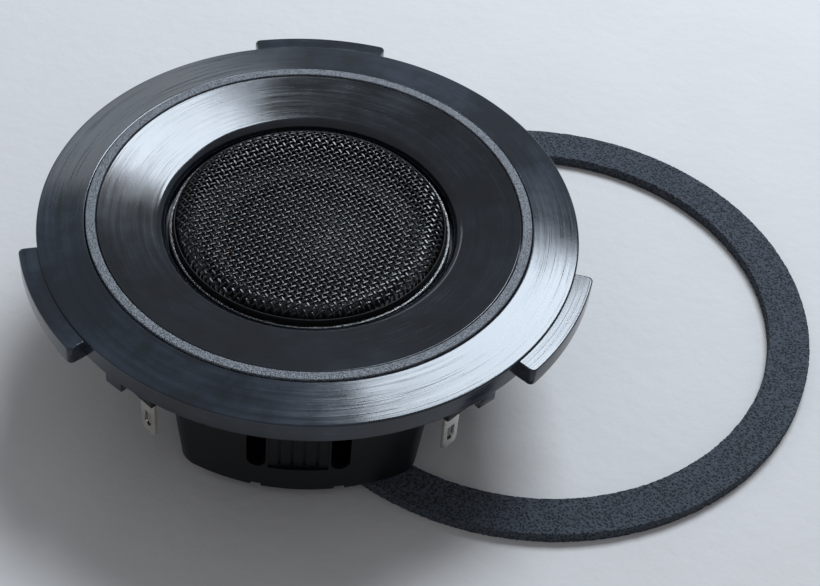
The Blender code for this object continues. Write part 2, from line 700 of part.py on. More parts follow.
def make_terminal(side, label):
    """One blade in its carrier, with the lead that feeds it. side is -1 on the left and +1 on the right."""
    spot = Matrix.Translation((side * BLADE_X, BLADE_Y, 0.0))
    spot = spot @ Matrix.Rotation(math.radians(side * BLADE_TURN), 4, "Z")
    half = BLADE_WIDTH / 2
    thick = BLADE_THICKNESS / 2
    mesh = block_mesh(f"terminal_{label}", (-half, -thick, BLADE_TIP_Z), (half, thick, BLADE_TOP_Z))
    mesh.transform(spot)
    blade = place(mesh, f"terminal_{label}", "tinned_brass")
    eye_sill = BLADE_TIP_Z + BLADE_EYE_MARGIN
    mesh = slot_mesh(f"eye_{label}", 0.0, eye_sill, BLADE_EYE_WIDTH, BLADE_EYE_LENGTH, -MM, MM)
    mesh.transform(spot)
    cut(blade, cutter(mesh, f"eye_{label}"))

    carrier_y = -thick - GAP - CARRIER_OUTER_WALL
    low = Vector((-CARRIER_WIDTH / 2, carrier_y, BLADE_TOP_Z - CARRIER_HEIGHT))
    high = Vector((CARRIER_WIDTH / 2, carrier_y + CARRIER_DEPTH, BLADE_TOP_Z))
    mesh = block_mesh(f"terminal_carrier_{label}", low, high)
    mesh.transform(spot)
    carrier = place(mesh, f"terminal_carrier_{label}", "moulded_black")
    slot_low = (-half - GAP, -thick - GAP, low.z - MM)
    mesh = block_mesh(f"blade_slot_{label}", slot_low, (half + GAP, thick + GAP, high.z + MM))
    mesh.transform(spot)
    cut(carrier, cutter(mesh, f"blade_slot_{label}"))

    place(tube_mesh(f"lead_wire_{label}", lead_path(side), LEAD_R), f"lead_wire_{label}", "copper_wire")


def make_gasket():
    """A flat foam ring, a little egg-shaped, lying below the cup's rim."""
    egg = math.radians(GASKET_EGG_AZIMUTH)
    angles = [math.tau * i / BIG_STEPS for i in range(BIG_STEPS)]

    def edge(offset):
        points = []
        for angle in angles:
            radius = GASKET_MEAN_R + offset + GASKET_EGG * math.cos(2 * (angle - egg))
            points.append((GASKET_X + radius * math.cos(angle), GASKET_Y + radius * math.sin(angle)))
        return points

    top = BACK_Z - GAP
    bottom = top - GASKET_THICKNESS

    def build(bm):
        loops = []
        for offset, z in ((1, top), (1, bottom), (-1, bottom), (-1, top)):
            outline = edge(offset * GASKET_BAND / 2)
            loops.append([bm.verts.new((x, y, z)) for x, y in outline])
        for k in range(4):
            first = loops[k]
            second = loops[(k + 1) % 4]
            for i in range(BIG_STEPS):
                j = (i + 1) % BIG_STEPS
                bm.faces.new((first[i], first[j], second[j], second[i]))

    place(mesh_from("foam_gasket", build), "foam_gasket", "foam")


def shade_round_parts():
    for obj in bpy.data.collections[COLLECTION].objects:
        obj.data.shade_smooth()
        obj.data.set_sharp_from_angle(angle=math.radians(35))


def main():
    clear_scene()
    new_collection(COLLECTION)
    new_collection(CUTTERS)
    make_bezel()
    make_trim_ring()
    make_waveguide()
    make_grille()
    make_dome()
    make_surround()
    make_coil()
    make_motor()
    make_frame_ring()
    make_housing()
    make_rear_cover()
    make_terminal(-1, "left")
    make_terminal(1, "right")
    make_gasket()
    shade_round_parts()


main()
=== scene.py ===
"""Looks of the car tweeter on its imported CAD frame: pieces, node materials, floor, light and camera.

Metres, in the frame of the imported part: the origin is on the axis in the plane of the flange seat,
and +Z points to the listener.
"""

import math

import bmesh
import bpy
import numpy as np
from mathutils import Matrix, Vector, noise


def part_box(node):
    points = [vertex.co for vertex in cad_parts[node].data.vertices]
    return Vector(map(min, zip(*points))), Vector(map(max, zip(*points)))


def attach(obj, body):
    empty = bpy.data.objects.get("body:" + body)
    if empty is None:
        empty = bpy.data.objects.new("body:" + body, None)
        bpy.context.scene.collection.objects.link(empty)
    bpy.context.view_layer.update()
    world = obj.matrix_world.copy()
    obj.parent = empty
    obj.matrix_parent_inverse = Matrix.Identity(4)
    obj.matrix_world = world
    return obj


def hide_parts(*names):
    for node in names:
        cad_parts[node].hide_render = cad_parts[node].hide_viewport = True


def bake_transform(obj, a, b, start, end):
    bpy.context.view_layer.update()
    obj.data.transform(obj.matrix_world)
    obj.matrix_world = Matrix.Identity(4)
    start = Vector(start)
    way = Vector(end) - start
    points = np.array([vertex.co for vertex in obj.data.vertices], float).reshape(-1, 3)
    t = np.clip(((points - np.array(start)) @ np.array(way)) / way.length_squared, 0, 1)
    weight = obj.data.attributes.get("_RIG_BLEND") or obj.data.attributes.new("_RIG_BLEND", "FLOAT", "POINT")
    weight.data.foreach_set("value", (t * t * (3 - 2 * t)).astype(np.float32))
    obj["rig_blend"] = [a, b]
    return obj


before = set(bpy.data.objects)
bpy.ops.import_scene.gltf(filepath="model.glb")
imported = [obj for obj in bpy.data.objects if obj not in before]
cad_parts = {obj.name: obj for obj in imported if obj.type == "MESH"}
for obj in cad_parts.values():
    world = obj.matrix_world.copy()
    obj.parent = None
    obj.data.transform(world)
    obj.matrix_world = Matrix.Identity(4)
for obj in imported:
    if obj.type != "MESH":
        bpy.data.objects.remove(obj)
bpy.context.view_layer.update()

MM = 0.001

# Camera, in the part's frame, with its lens and sensor in millimetres.
CAMERA_PLACE = (0.0012064, -0.1586649, 0.1558306)
CAMERA_RIGHT = (0.99744728, 0.0, 0.07140681)
CAMERA_UP = (-0.04932598, 0.72307056, 0.68901083)
CAMERA_LENS = 79.02
CAMERA_SENSOR = 36.0
CAMERA_CLIP_START = 0.01

# The window that every glossy surface mirrors, the strip beyond it, and the light of the room.
WINDOW_CENTRE = (0.18, 0.344, 0.5)
WINDOW_TURN = 10.0
WINDOW_WIDTH = 0.305
WINDOW_DEPTH = 0.28
WINDOW_RADIANCE = 19.0
WINDOW_COLOUR = (0.79, 0.89, 1.0)
STRIP_GAP = 0.008
STRIP_DEPTH = 0.018
STRIP_RADIANCE = 1.6
STRIP_COLOUR = (1.0, 0.82, 0.74)
ROOM_LIGHT = 0.36
ROOM_COLOUR = (0.93, 0.97, 1.04, 1.0)

# A dim patch of wall, far and low behind the object on its left.
GLOW_CENTRE = (-0.24, 0.92, 0.5)
GLOW_TURN = -20.0
GLOW_WIDTH = 0.22
GLOW_DEPTH = 0.6
GLOW_RADIANCE = 2.1
GLOW_COLOUR = (0.86, 0.93, 1.0)

# Floor: half its side, and the two tones it drifts between.
FLOOR_REACH = 2.0
FLOOR_DARK = (0.575, 0.555, 0.54, 1.0)
FLOOR_LIGHT = (0.62, 0.6, 0.585, 1.0)

# Brightness of the smears on the lacquer.
HAZE_TONE = 0.035

# Distance at which a wave texture of scale 1 repeats.
WAVE_PERIOD = 0.31

# Facets of a full turn on the front, on the housing and on the small round pieces.
ROUND_STEPS = 288
HOUSING_STEPS = 192
SMALL_STEPS = 160

# Steps of a rounded corner, of a quarter or half arc, and of the arcs in the dome and its roll.
CORNER_STEPS = 4
ARC_STEPS = 12
FORM_STEPS = 32

# Most of a side that the rounding of one of its corners may take.
CORNER_SHARE = 0.45

# Depth of the middle of a rounded edge, as a share of its radius.
EDGE_SHARE = 0.3

# Points nearer than this are one point, and heights nearer than this are one height.
SAME_POINT = 1e-7
SAME_HEIGHT = 0.02 * MM

# Angles from which an edge is bevelled or shaded sharp, and one that leaves every edge smooth.
BEVEL_ANGLE = 40.0
SHARP_ANGLE = 32.0
SMOOTH = 180.0

# Clearance and sheet that the CAD solids were drawn with.
GAP = 0.3 * MM
CLOTH = 0.25 * MM

# Bezel details.
TAB_AZIMUTHS = (90.0, -27.0, -153.0)
TAB_SPAN = 29.0
TAB_CORNER_R = 0.6 * MM
TAB_CORNER_STEPS = 5
TAB_ARC_STEPS = 24
TAB_ROOT = 0.5 * MM
TAB_DROP = 0.25 * MM
TAB_THICKNESS = 2.6 * MM
CLAW_AZIMUTHS = (-49.5, -130.5, 49.5, 130.5)
CLAW_WIDTH = 2.6 * MM
CLAW_WALL = 1.1 * MM
CLAW_REACH = 1.6 * MM
CLAW_ROOT = 0.7 * MM
CLAW_INSET = 0.15 * MM
EDGE_ROUND = 0.22 * MM
FINE_ROUND = 0.1 * MM
MOULDED_ROUND = 0.18 * MM
BEZEL_THICKNESS = 1.5 * MM
LEDGE_WIDTH = 2.26 * MM
TRIM_SPREAD = 0.16 * MM
TRIM_ROUND = 0.15 * MM
HORN_LIP_DROP = 0.2 * MM
THROAT_DEPTH = 1.6 * MM

# Woven grille.
WIRE_PITCH = 0.71 * MM
WIRE_R = 0.15 * MM
# How far the wires of each family rise and fall: the first lie nearly straight.
WEAVE_RISES = (0.07 * MM, 0.12 * MM)
WIRE_SIDES = 6
WIRE_STEP = 0.18 * MM
WIRE_SAMPLES = 801
WEAVE_AZIMUTH = 32.4
# Slope of the grille at shares of its radius: a shallow dish inside a rounded ridge, and a steep skirt.
GRILLE_SHARES = (0.0, 0.7, 0.78, 0.84, 0.865, 0.885, 0.915, 0.94, 0.985)
GRILLE_SLOPES = (0.0, 0.02, 0.15, 0.18, 0.0, -0.14, -0.22, -0.45, -0.8)
PROFILE_SAMPLES = 200
RIDGE_DROP = 0.8 * MM

# Pressed flats: how soon one begins as the wire rises, how fast it grows, and how far down it reaches.
FLAT_START = 0.5
FLAT_GAIN = 2.2
FLAT_FACING = 0.6

# Bead and glue at the grille's edge. The glue darkens the edge of the mesh, partly as glue and partly as
# painted shade on its steep fall.
BEAD_WIDTH = 0.46 * MM
BEAD_ROUND_SHARE = 0.45
GLUE_AND_SHADE_RISE = 0.75 * MM
GLUE_AND_SHADE_START_R = 15.95 * MM
GLUE_AND_SHADE_FULL_R = 16.2 * MM

# Cup of the rear housing.
CUP_CORNER_R = 3.0 * MM
CUP_CORNER_STEPS = 10
CUP_ARC_STEPS = 16
CUP_DRAFT = 0.115
CUP_WALL = 1.3 * MM
CUP_EDGE = 0.3 * MM
CUP_BEVEL = 0.12 * MM
CUP_SIDE_CLEARANCE = 0.4 * MM
PLATE_THICKNESS = 1.4 * MM
SHOULDER_WALL = 1.4 * MM
SHOULDER_FLOOR = 1.2 * MM
SLOT_X = 5.0 * MM
SLOT_WIDTH = 2.3 * MM
SLOT_SILL = 3.9 * MM
SLOT_HEIGHT = 7.2 * MM
PANEL_WIDTH = 7.2 * MM
PANEL_DEPTH = 0.5 * MM
FLUTE_COUNT = 4
FLUTE_PITCH = 1.5 * MM
FLUTE_WIDTH = 0.35 * MM
FLUTE_DEPTH = 0.25 * MM
NOTCH_WIDTH = 1.2 * MM
NOTCH_HEIGHT = 0.6 * MM
CUT_PAST = 2.0 * MM

# Terminals.
BLADE_TURN = 45.0
BLADE_WIDTH = 2.4 * MM
BLADE_THICKNESS = 0.4 * MM
BLADE_CORNER_R = 0.55 * MM
BLADE_BEVEL = 0.05 * MM
CARRIER_WIDTH = 3.8 * MM
CARRIER_DEPTH = 3.0 * MM
CARRIER_OUTER_WALL = 0.6 * MM
BLADE_EYE_WIDTH = 1.1 * MM
BLADE_EYE_LENGTH = 2.4 * MM
BLADE_EYE_MARGIN = 1.0 * MM

# Foam ring.
GASKET_EGG = 0.57 * MM
GASKET_EGG_AZIMUTH = 44.5
FOAM_STEP = 0.15 * MM
UNDERSIDE_STEP = 0.6 * MM
FOAM_TONE = 0.03

# Pores of foam and clumps of felt: their size and depth, how fast a pore ends, and the slower swell.
PORE_SIZE = 0.33 * MM
PORE_DEPTH = 0.16 * MM
CLUMP_SIZE = 0.5 * MM
CLUMP_DEPTH = 0.08 * MM
PORE_STEEPNESS = 1.7
SWELL_RATE = 0.21
SWELL_SHARE = 0.25
PAD_RINGS = 24
PAD_LAYERS = 4


# ---- Measures taken from the frame ----


def points_of(node):
    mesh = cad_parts[node].data
    flat = np.zeros(len(mesh.vertices) * 3)
    mesh.vertices.foreach_get("co", flat)
    return flat.reshape(-1, 3)


def heights(node):
    low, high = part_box(node)
    return low.z, high.z


def radii(node, height=None):
    """Least and greatest distance from the axis of a CAD node's points, or of those at one height."""
    points = points_of(node)
    if height is not None:
        points = points[np.abs(points[:, 2] - height) < SAME_HEIGHT]
    distance = np.hypot(points[:, 0], points[:, 1])
    return distance.min(), distance.max()


# ---- Meshes ----


def mesh_of(name, verts, faces):
    """A mesh with its doubles merged and its faces pointing out."""
    mesh = bpy.data.meshes.new(name)
    mesh.from_pydata([tuple(v) for v in verts], [], [tuple(f) for f in faces])
    bm = bmesh.new()
    bm.from_mesh(mesh)
    bmesh.ops.remove_doubles(bm, verts=bm.verts, dist=SAME_POINT)
    bmesh.ops.recalc_face_normals(bm, faces=bm.faces)
    bm.to_mesh(mesh)
    bm.free()
    return mesh


def rounded(outline, radius, closed=True):
    """The outline with its corners rounded to that radius, or as far as its sides allow."""
    points = [np.array(p, float) for p in outline]
    count = len(points)
    result = []
    for i, corner in enumerate(points):
        if not closed and i in (0, count - 1):
            result.append(corner)
            continue
        back = points[i - 1] - corner
        ahead = points[(i + 1) % count] - corner
        shorter = min(np.linalg.norm(back), np.linalg.norm(ahead))
        reach = min(radius, CORNER_SHARE * shorter)
        start = corner + back / np.linalg.norm(back) * reach
        end = corner + ahead / np.linalg.norm(ahead) * reach
        for k in range(CORNER_STEPS + 1):
            t = k / CORNER_STEPS
            result.append((1 - t) ** 2 * start + 2 * t * (1 - t) * corner + t**2 * end)
    return result


def grid_faces(rows, columns, close_rows, close_columns):
    faces = []
    for i in range(rows if close_rows else rows - 1):
        for j in range(columns if close_columns else columns - 1):
            k = (i + 1) % rows
            m = (j + 1) % columns
            faces.append((i * columns + j, i * columns + m, k * columns + m, k * columns + j))
    return faces


def lathe(name, outline, closed=True, steps=ROUND_STEPS):
    """The (radius, height) outline turned about the axis."""
    outline = np.array(outline)
    angles = np.arange(steps) * math.tau / steps
    x = np.outer(np.cos(angles), outline[:, 0])
    y = np.outer(np.sin(angles), outline[:, 0])
    z = np.broadcast_to(outline[:, 1], x.shape)
    verts = np.stack([x, y, z], -1).reshape(-1, 3)
    return mesh_of(name, verts, grid_faces(steps, len(outline), True, closed))


def loft(name, outline_at, levels):
    """Lofts outline_at(level), a list of (x, y, z) points, through the levels and caps it."""
    rings = [outline_at(level) for level in levels]
    count = len(rings[0])
    faces = grid_faces(len(rings), count, False, True)
    faces.append(tuple(range(count)))
    faces.append(tuple((len(rings) - 1) * count + i for i in range(count)))
    return mesh_of(name, [p for ring in rings for p in ring], faces)


def block(name, low, high):
    corners = [(low[0], low[1]), (high[0], low[1]), (high[0], high[1]), (low[0], high[1])]
    return loft(name, lambda z: [(x, y, z) for x, y in corners], (low[2], high[2]))


def helper(mesh):
    obj = bpy.data.objects.new(mesh.name, mesh)
    bpy.context.scene.collection.objects.link(obj)
    return obj


def shaped(mesh, unions=(), cuts=(), bevel=0.0):
    """The mesh after Booleans with the other meshes and a bevel of its sharp edges."""
    obj = helper(mesh)
    helpers = []
    for operation, tools in (("UNION", unions), ("DIFFERENCE", cuts)):
        if not tools:
            continue
        group = bpy.data.collections.new(f"{mesh.name}_{operation.lower()}")
        for tool in tools:
            helpers.append(helper(tool))
            group.objects.link(helpers[-1])
        modifier = obj.modifiers.new(operation, "BOOLEAN")
        modifier.operation = operation
        modifier.operand_type = "COLLECTION"
        modifier.collection = group
        modifier.solver = "EXACT"
    if bevel:
        modifier = obj.modifiers.new("bevel", "BEVEL")
        modifier.width = bevel
        modifier.segments = 2
        modifier.limit_method = "ANGLE"
        modifier.angle_limit = math.radians(BEVEL_ANGLE)
    bpy.context.view_layer.update()
    graph = bpy.context.evaluated_depsgraph_get()
    result = bpy.data.meshes.new_from_object(obj.evaluated_get(graph))
    result.name = mesh.name
    for used in [obj, *helpers]:
        bpy.data.objects.remove(used)
    return result


def joined(name, meshes):
    """One mesh that holds all of the meshes."""
    bm = bmesh.new()
    for mesh in meshes:
        bm.from_mesh(mesh)
    result = bpy.data.meshes.new(name)
    bm.to_mesh(result)
    bm.free()
    return result


def piece(mesh, name, look, nodes, body="speaker", sharp=SHARP_ANGLE):
    """Shows the mesh in place of the CAD nodes, with this material, on this body or on none."""
    obj = bpy.data.objects.new(name, mesh)
    bpy.context.scene.collection.objects.link(obj)
    mesh.materials.clear()
    mesh.materials.append(look)
    mesh.shade_smooth()
    mesh.set_sharp_from_angle(angle=math.radians(sharp))
    if sharp < SMOOTH:
        weighted = obj.modifiers.new("weighted", "WEIGHTED_NORMAL")
        weighted.keep_sharp = True
    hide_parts(*nodes)
    if body:
        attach(obj, body)
    return obj


def flexing(obj, start_r, end_r):
    """Lets the piece go with the diaphragm inside start_r, stay still beyond end_r and bend between."""
    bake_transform(obj, "diaphragm", "speaker", (start_r, 0.0, 0.0), (end_r, 0.0, 0.0))
    weights = obj.data.attributes["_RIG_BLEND"].data
    for vertex, weight in zip(obj.data.vertices, weights):
        share = (vertex.co.xy.length - start_r) / (end_r - start_r)
        share = min(1.0, max(0.0, share))
        weight.value = share * share * (3 - 2 * share)


# ---- Materials ----


class Look:
    """A node material in the making. Its coordinates are the row frame's, in metres."""

    def __init__(self, name, roughness=0.5, metallic=0.0, specular=0.5):
        self.material = bpy.data.materials.new(name)
        self.material.use_nodes = True
        self.tree = self.material.node_tree
        self.shader = self.tree.nodes["Principled BSDF"]
        self.place = self.node("ShaderNodeTexCoord").outputs["Object"]
        self.set("Roughness", roughness)
        self.set("Metallic", metallic)
        self.set("Specular IOR Level", specular)

    def node(self, kind, **settings):
        made = self.tree.nodes.new(kind)
        for key, value in settings.items():
            setattr(made, key, value)
        return made

    def feed(self, socket, value):
        if isinstance(value, bpy.types.NodeSocket):
            self.tree.links.new(value, socket)
        else:
            socket.default_value = value

    def set(self, name, value):
        self.feed(self.shader.inputs[name], value)

    def maths(self, operation, first, second=0.0):
        made = self.node("ShaderNodeMath", operation=operation)
        self.feed(made.inputs[0], first)
        self.feed(made.inputs[1], second)
        return made.outputs[0]

    def noise(self, size, vector=None, detail=3.0, rough=0.55):
        made = self.node("ShaderNodeTexNoise")
        self.feed(made.inputs["Vector"], vector or self.place)
        made.inputs["Scale"].default_value = 1.0 / size
        made.inputs["Detail"].default_value = detail
        made.inputs["Roughness"].default_value = rough
        return made.outputs["Fac"]

    def cells(self, size):
        made = self.node("ShaderNodeTexVoronoi")
        self.feed(made.inputs["Vector"], self.place)
        made.inputs["Scale"].default_value = 1.0 / size
        return made.outputs["Distance"]

    def span(self, value, from_low, from_high, to_low, to_high):
        made = self.node("ShaderNodeMapRange")
        for index, amount in enumerate((value, from_low, from_high, to_low, to_high)):
            self.feed(made.inputs[index], amount)
        return made.outputs[0]

    def mix(self, factor, first, second):
        """A mix of two colours, which are sockets 6 and 7 of a Mix node and 2 of its outputs."""
        made = self.node("ShaderNodeMix", data_type="RGBA")
        self.feed(made.inputs[0], factor)
        self.feed(made.inputs[6], first)
        self.feed(made.inputs[7], second)
        return made.outputs[2]

    def bump(self, height, depth, strength=1.0, under=None):
        made = self.node("ShaderNodeBump")
        made.inputs["Strength"].default_value = strength
        made.inputs["Distance"].default_value = depth
        self.feed(made.inputs["Height"], height)
        if under is not None:
            self.feed(made.inputs["Normal"], under)
        return made.outputs["Normal"]

    def scaled(self, factors):
        made = self.node("ShaderNodeVectorMath", operation="MULTIPLY")
        self.feed(made.inputs[0], self.place)
        made.inputs[1].default_value = factors
        return made.outputs[0]

    def ring_place(self, arc):
        """Coordinates that run along the radius and height, and change slowly round the axis."""
        parts = self.node("ShaderNodeSeparateXYZ")
        self.feed(parts.inputs[0], self.place)
        flat = self.scaled((1.0, 1.0, 0.0))
        length = self.node("ShaderNodeVectorMath", operation="LENGTH")
        self.feed(length.inputs[0], flat)
        unit = self.node("ShaderNodeVectorMath", operation="NORMALIZE")
        self.feed(unit.inputs[0], flat)
        slow = self.node("ShaderNodeVectorMath", operation="SCALE")
        self.feed(slow.inputs[0], unit.outputs[0])
        slow.inputs["Scale"].default_value = arc
        ends = self.node("ShaderNodeSeparateXYZ")
        self.feed(ends.inputs[0], slow.outputs[0])
        across = self.maths("ADD", length.outputs["Value"], parts.outputs[2])
        made = self.node("ShaderNodeCombineXYZ")
        self.feed(made.inputs[0], across)
        self.feed(made.inputs[1], ends.outputs[0])
        self.feed(made.inputs[2], ends.outputs[1])
        return made.outputs[0]


def grey(value, blue=0.0):
    """A grey whose blue is stronger by that share."""
    return (value, value * (1 + 0.4 * blue), value * (1 + blue), 1.0)


def turned_look(name, base, roughness, groove, hazy):
    """Black lacquer with fine concentric turning marks, sparse deeper rings, faint smears and dust."""
    look = Look(name)
    fine = look.noise(0.09 * MM, look.ring_place(0.6 * MM), 2.0)
    broad = look.noise(0.5 * MM, look.ring_place(0.7 * MM), 4.0, 0.7)
    rings = look.span(look.noise(0.2 * MM, look.ring_place(0.35 * MM), 2.0), 0.55, 0.75, 0.0, 1.0)
    cloud = look.noise(9 * MM, None, 5.0, 0.65)
    dust = look.span(look.noise(0.28 * MM, None, 2.0, 0.7), 0.7, 0.8, 0.0, 0.3)
    tone = look.mix(broad, grey(base * 0.6, 1.0), grey(base * 1.4, 1.4))
    smear = look.span(cloud, 0.42, 0.72, 0.0, hazy)
    haze = look.maths("MULTIPLY", smear, look.span(broad, 0.3, 0.7, 0.5, 1.4))
    tone = look.mix(haze, tone, grey(HAZE_TONE, 1.0))
    look.set("Base Color", look.mix(dust, tone, grey(HAZE_TONE * 2, 0.2)))
    spread = look.span(broad, 0.3, 0.7, roughness * 0.75, roughness * 1.35)
    look.set("Roughness", look.maths("ADD", spread, look.span(cloud, 0.35, 0.7, -0.02, 0.03)))
    deep = look.bump(rings, groove * 5)
    coarse = look.bump(broad, groove * 1.6, 1.0, deep)
    look.set("Normal", look.bump(fine, groove, 1.0, coarse))
    return look.material


def grained_look():
    """Grey paint on the trim ring with a sparkling grain."""
    look = Look("grained_grey", 0.5)
    grain = look.cells(0.14 * MM)
    fine = look.noise(0.1 * MM, None, 2.0, 0.7)
    speck = look.span(grain, 0.1, 0.6, 1.0, 0.0)
    look.set("Base Color", look.mix(speck, grey(0.03, 0.3), grey(0.36, 0.2)))
    look.set("Roughness", look.span(fine, 0.3, 0.7, 0.35, 0.65))
    look.set("Normal", look.bump(grain, 0.05 * MM))
    return look.material


def moulded_look(name="moulded_black", base=0.0035, roughness=0.4):
    """Moulded black plastic: fine spark texture, flow streaks and a little dust."""
    look = Look(name, specular=0.3)
    spark = look.noise(0.16 * MM, None, 3.0, 0.65)
    flow = look.noise(3 * MM, look.scaled((1.0, 1.0, 0.35)), 4.0)
    dust = look.span(look.noise(0.4 * MM, None, 3.0, 0.7), 0.66, 0.8, 0.0, 1.0)
    tone = look.mix(flow, grey(base * 0.8, 0.3), grey(base * 1.35, 0.5))
    look.set("Base Color", look.mix(look.maths("MULTIPLY", dust, 0.35), tone, grey(base * 7)))
    look.set("Roughness", look.span(flow, 0.3, 0.7, roughness * 0.85, roughness * 1.2))
    look.set("Normal", look.bump(spark, 0.035 * MM))
    return look.material


def wire_look():
    """Black-coated steel wire, rubbed bright on its high points, and at its clamped edge matt and painted
    near-black, partly as glue and partly as painted shade.
    """
    look = Look("mesh_steel", 0.25, 0.0, 0.42)
    coat = look.noise(0.12 * MM, None, 3.0)
    patch = look.noise(2.2 * MM, None, 3.0)
    from_axis = look.node("ShaderNodeVectorMath", operation="LENGTH")
    look.feed(from_axis.inputs[0], look.scaled((1.0, 1.0, 0.0)))
    # Painted shade: near the clamped edge the wire is painted near-black and made matt, standing partly for
    # glue and partly for the shade on the mesh's steep edge.
    glue_and_shade = look.span(from_axis.outputs["Value"], GLUE_AND_SHADE_START_R, GLUE_AND_SHADE_FULL_R, 0.0, 1.0)
    tone = look.mix(patch, grey(0.001, 0.4), grey(0.004, 0.5))
    look.set("Base Color", look.mix(glue_and_shade, tone, grey(0.001)))
    shine = look.span(coat, 0.3, 0.7, 0.1, 0.2)
    look.set("Roughness", look.maths("MAXIMUM", shine, look.maths("MULTIPLY", glue_and_shade, 0.9)))
    look.set("Normal", look.bump(coat, 0.01 * MM))
    return look.material


def gloss_look():
    """Glossy black bead of glue round the grille, a little lumpy."""
    look = Look("gloss_black", 0.1, 0.0, 0.8)
    lump = look.noise(0.3 * MM, None, 3.0, 0.6)
    look.set("Base Color", look.mix(lump, grey(0.002), grey(0.012)))
    look.set("Roughness", look.span(lump, 0.3, 0.7, 0.05, 0.18))
    look.set("Normal", look.bump(lump, 0.09 * MM))
    return look.material


def cloth_look(name, base, roughness, thread, depth):
    """Woven, coated cloth."""
    look = Look(name, roughness)
    waves = []
    for factors in ((1.0, 0.0, 0.0), (0.0, 1.0, 0.0)):
        wave = look.node("ShaderNodeTexWave", wave_type="BANDS", bands_direction="DIAGONAL")
        look.feed(wave.inputs["Vector"], look.scaled(factors))
        wave.inputs["Scale"].default_value = WAVE_PERIOD / thread
        wave.inputs["Distortion"].default_value = 0.6
        waves.append(wave.outputs["Fac"])
    weave = look.maths("MULTIPLY", waves[0], waves[1])
    blotch = look.noise(2.5 * MM, None, 3.0)
    look.set("Base Color", look.mix(blotch, grey(base * 0.7), grey(base * 1.5)))
    look.set("Roughness", look.span(weave, 0.0, 1.0, roughness * 1.15, roughness * 0.85))
    look.set("Normal", look.bump(weave, depth))
    look.set("Sheen Weight", 0.15)
    return look.material


def foam_look():
    """Open-cell foam: paler cell walls, and pores painted dark as painted shade."""
    look = Look("foam", 0.9, 0.0, 0.25)
    cell = look.cells(PORE_SIZE)
    small = look.cells(PORE_SIZE / 2)
    drift = look.noise(5 * MM, None, 3.0)
    # Painted shade: the pores are painted much darker than the walls around them, for the shade that falls
    # in them.
    wall = look.span(cell, 0.15, 0.6, 0.0, 1.0)
    tone = look.mix(wall, grey(FOAM_TONE * 0.25, 0.3), grey(FOAM_TONE * 2.4, 0.45))
    look.set("Base Color", look.mix(look.maths("MULTIPLY", drift, 0.4), tone, grey(FOAM_TONE * 0.8)))
    deep = look.bump(cell, 0.2 * MM)
    look.set("Normal", look.bump(small, 0.08 * MM, 1.0, deep))
    return look.material


def felt_look():
    """Dark wool felt."""
    look = Look("felt", 0.95, 0.0, 0.2)
    fibre = look.noise(0.12 * MM, look.scaled((1.0, 0.35, 1.0)), 5.0, 0.7)
    clump = look.noise(1.2 * MM, None, 3.0)
    look.set("Base Color", look.mix(clump, grey(0.02), grey(0.07, 0.1)))
    look.set("Normal", look.bump(fibre, 0.12 * MM))
    look.set("Sheen Weight", 0.3)
    return look.material


def metal_look(name, dark, light, roughness, marks, streak=(1.0, 1.0, 1.0), ringed=False):
    """Bare or plated metal with turning or rolling marks and dull patches."""
    look = Look(name, roughness, 1.0)
    place = look.ring_place(1.0 * MM) if ringed else look.scaled(streak)
    line = look.noise(marks, place, 3.0)
    patch = look.noise(2.4 * MM, None, 4.0)
    look.set("Base Color", look.mix(patch, dark, light))
    look.set("Roughness", look.span(patch, 0.3, 0.7, roughness * 0.8, roughness * 1.3))
    look.set("Normal", look.bump(line, 0.01 * MM))
    return look.material


def winding_look(name, pitch):
    """Enamelled copper wire laid in even turns."""
    look = Look(name, 0.28, 1.0)
    wave = look.node("ShaderNodeTexWave", wave_type="BANDS", bands_direction="Z")
    look.feed(wave.inputs["Vector"], look.place)
    wave.inputs["Scale"].default_value = WAVE_PERIOD / pitch
    tone = look.noise(0.8 * MM)
    look.set("Base Color", look.mix(tone, (0.42, 0.13, 0.05, 1.0), (0.78, 0.33, 0.14, 1.0)))
    look.set("Roughness", look.span(tone, 0.3, 0.7, 0.22, 0.36))
    look.set("Normal", look.bump(wave.outputs["Fac"], pitch * 0.4))
    return look.material


LOOKS = {
    "turned_black": turned_look("turned_black", 0.007, 0.13, 0.0012 * MM, 0.6),
    "horn_black": turned_look("horn_black", 0.003, 0.1, 0.0006 * MM, 0.22),
    "grained_grey": grained_look(),
    "moulded_black": moulded_look(),
    "mesh_steel": wire_look(),
    "gloss_black": gloss_look(),
    # Matt glue of the fillet round the grille, darker than the other black plastic: partly glue and partly
    # painted shade.
    "glue_and_shade": moulded_look("glue_and_shade", 0.002, 0.6),
    "silk": cloth_look("silk", 0.003, 0.4, 0.16 * MM, 0.03 * MM),
    "coated_cloth": cloth_look("coated_cloth", 0.003, 0.45, 0.3 * MM, 0.05 * MM),
    "foam": foam_look(),
    "felt": felt_look(),
    "zinc_steel": metal_look("zinc_steel", grey(0.42, 0.05), grey(0.6, 0.03), 0.32, 0.1 * MM, ringed=True),
    "magnet_nickel": metal_look("magnet_nickel", grey(0.3), grey(0.42), 0.22, 0.08 * MM, ringed=True),
    "aluminium": metal_look("aluminium", grey(0.6), grey(0.75), 0.3, 0.08 * MM, ringed=True),
    "tinned_brass": metal_look(
        "tinned_brass", (0.5, 0.48, 0.43, 1.0), (0.82, 0.8, 0.74, 1.0), 0.24, 0.08 * MM, (1.0, 1.0, 0.08)
    ),
    "copper": winding_look("copper", 0.13 * MM),
}


# ---- Front ----

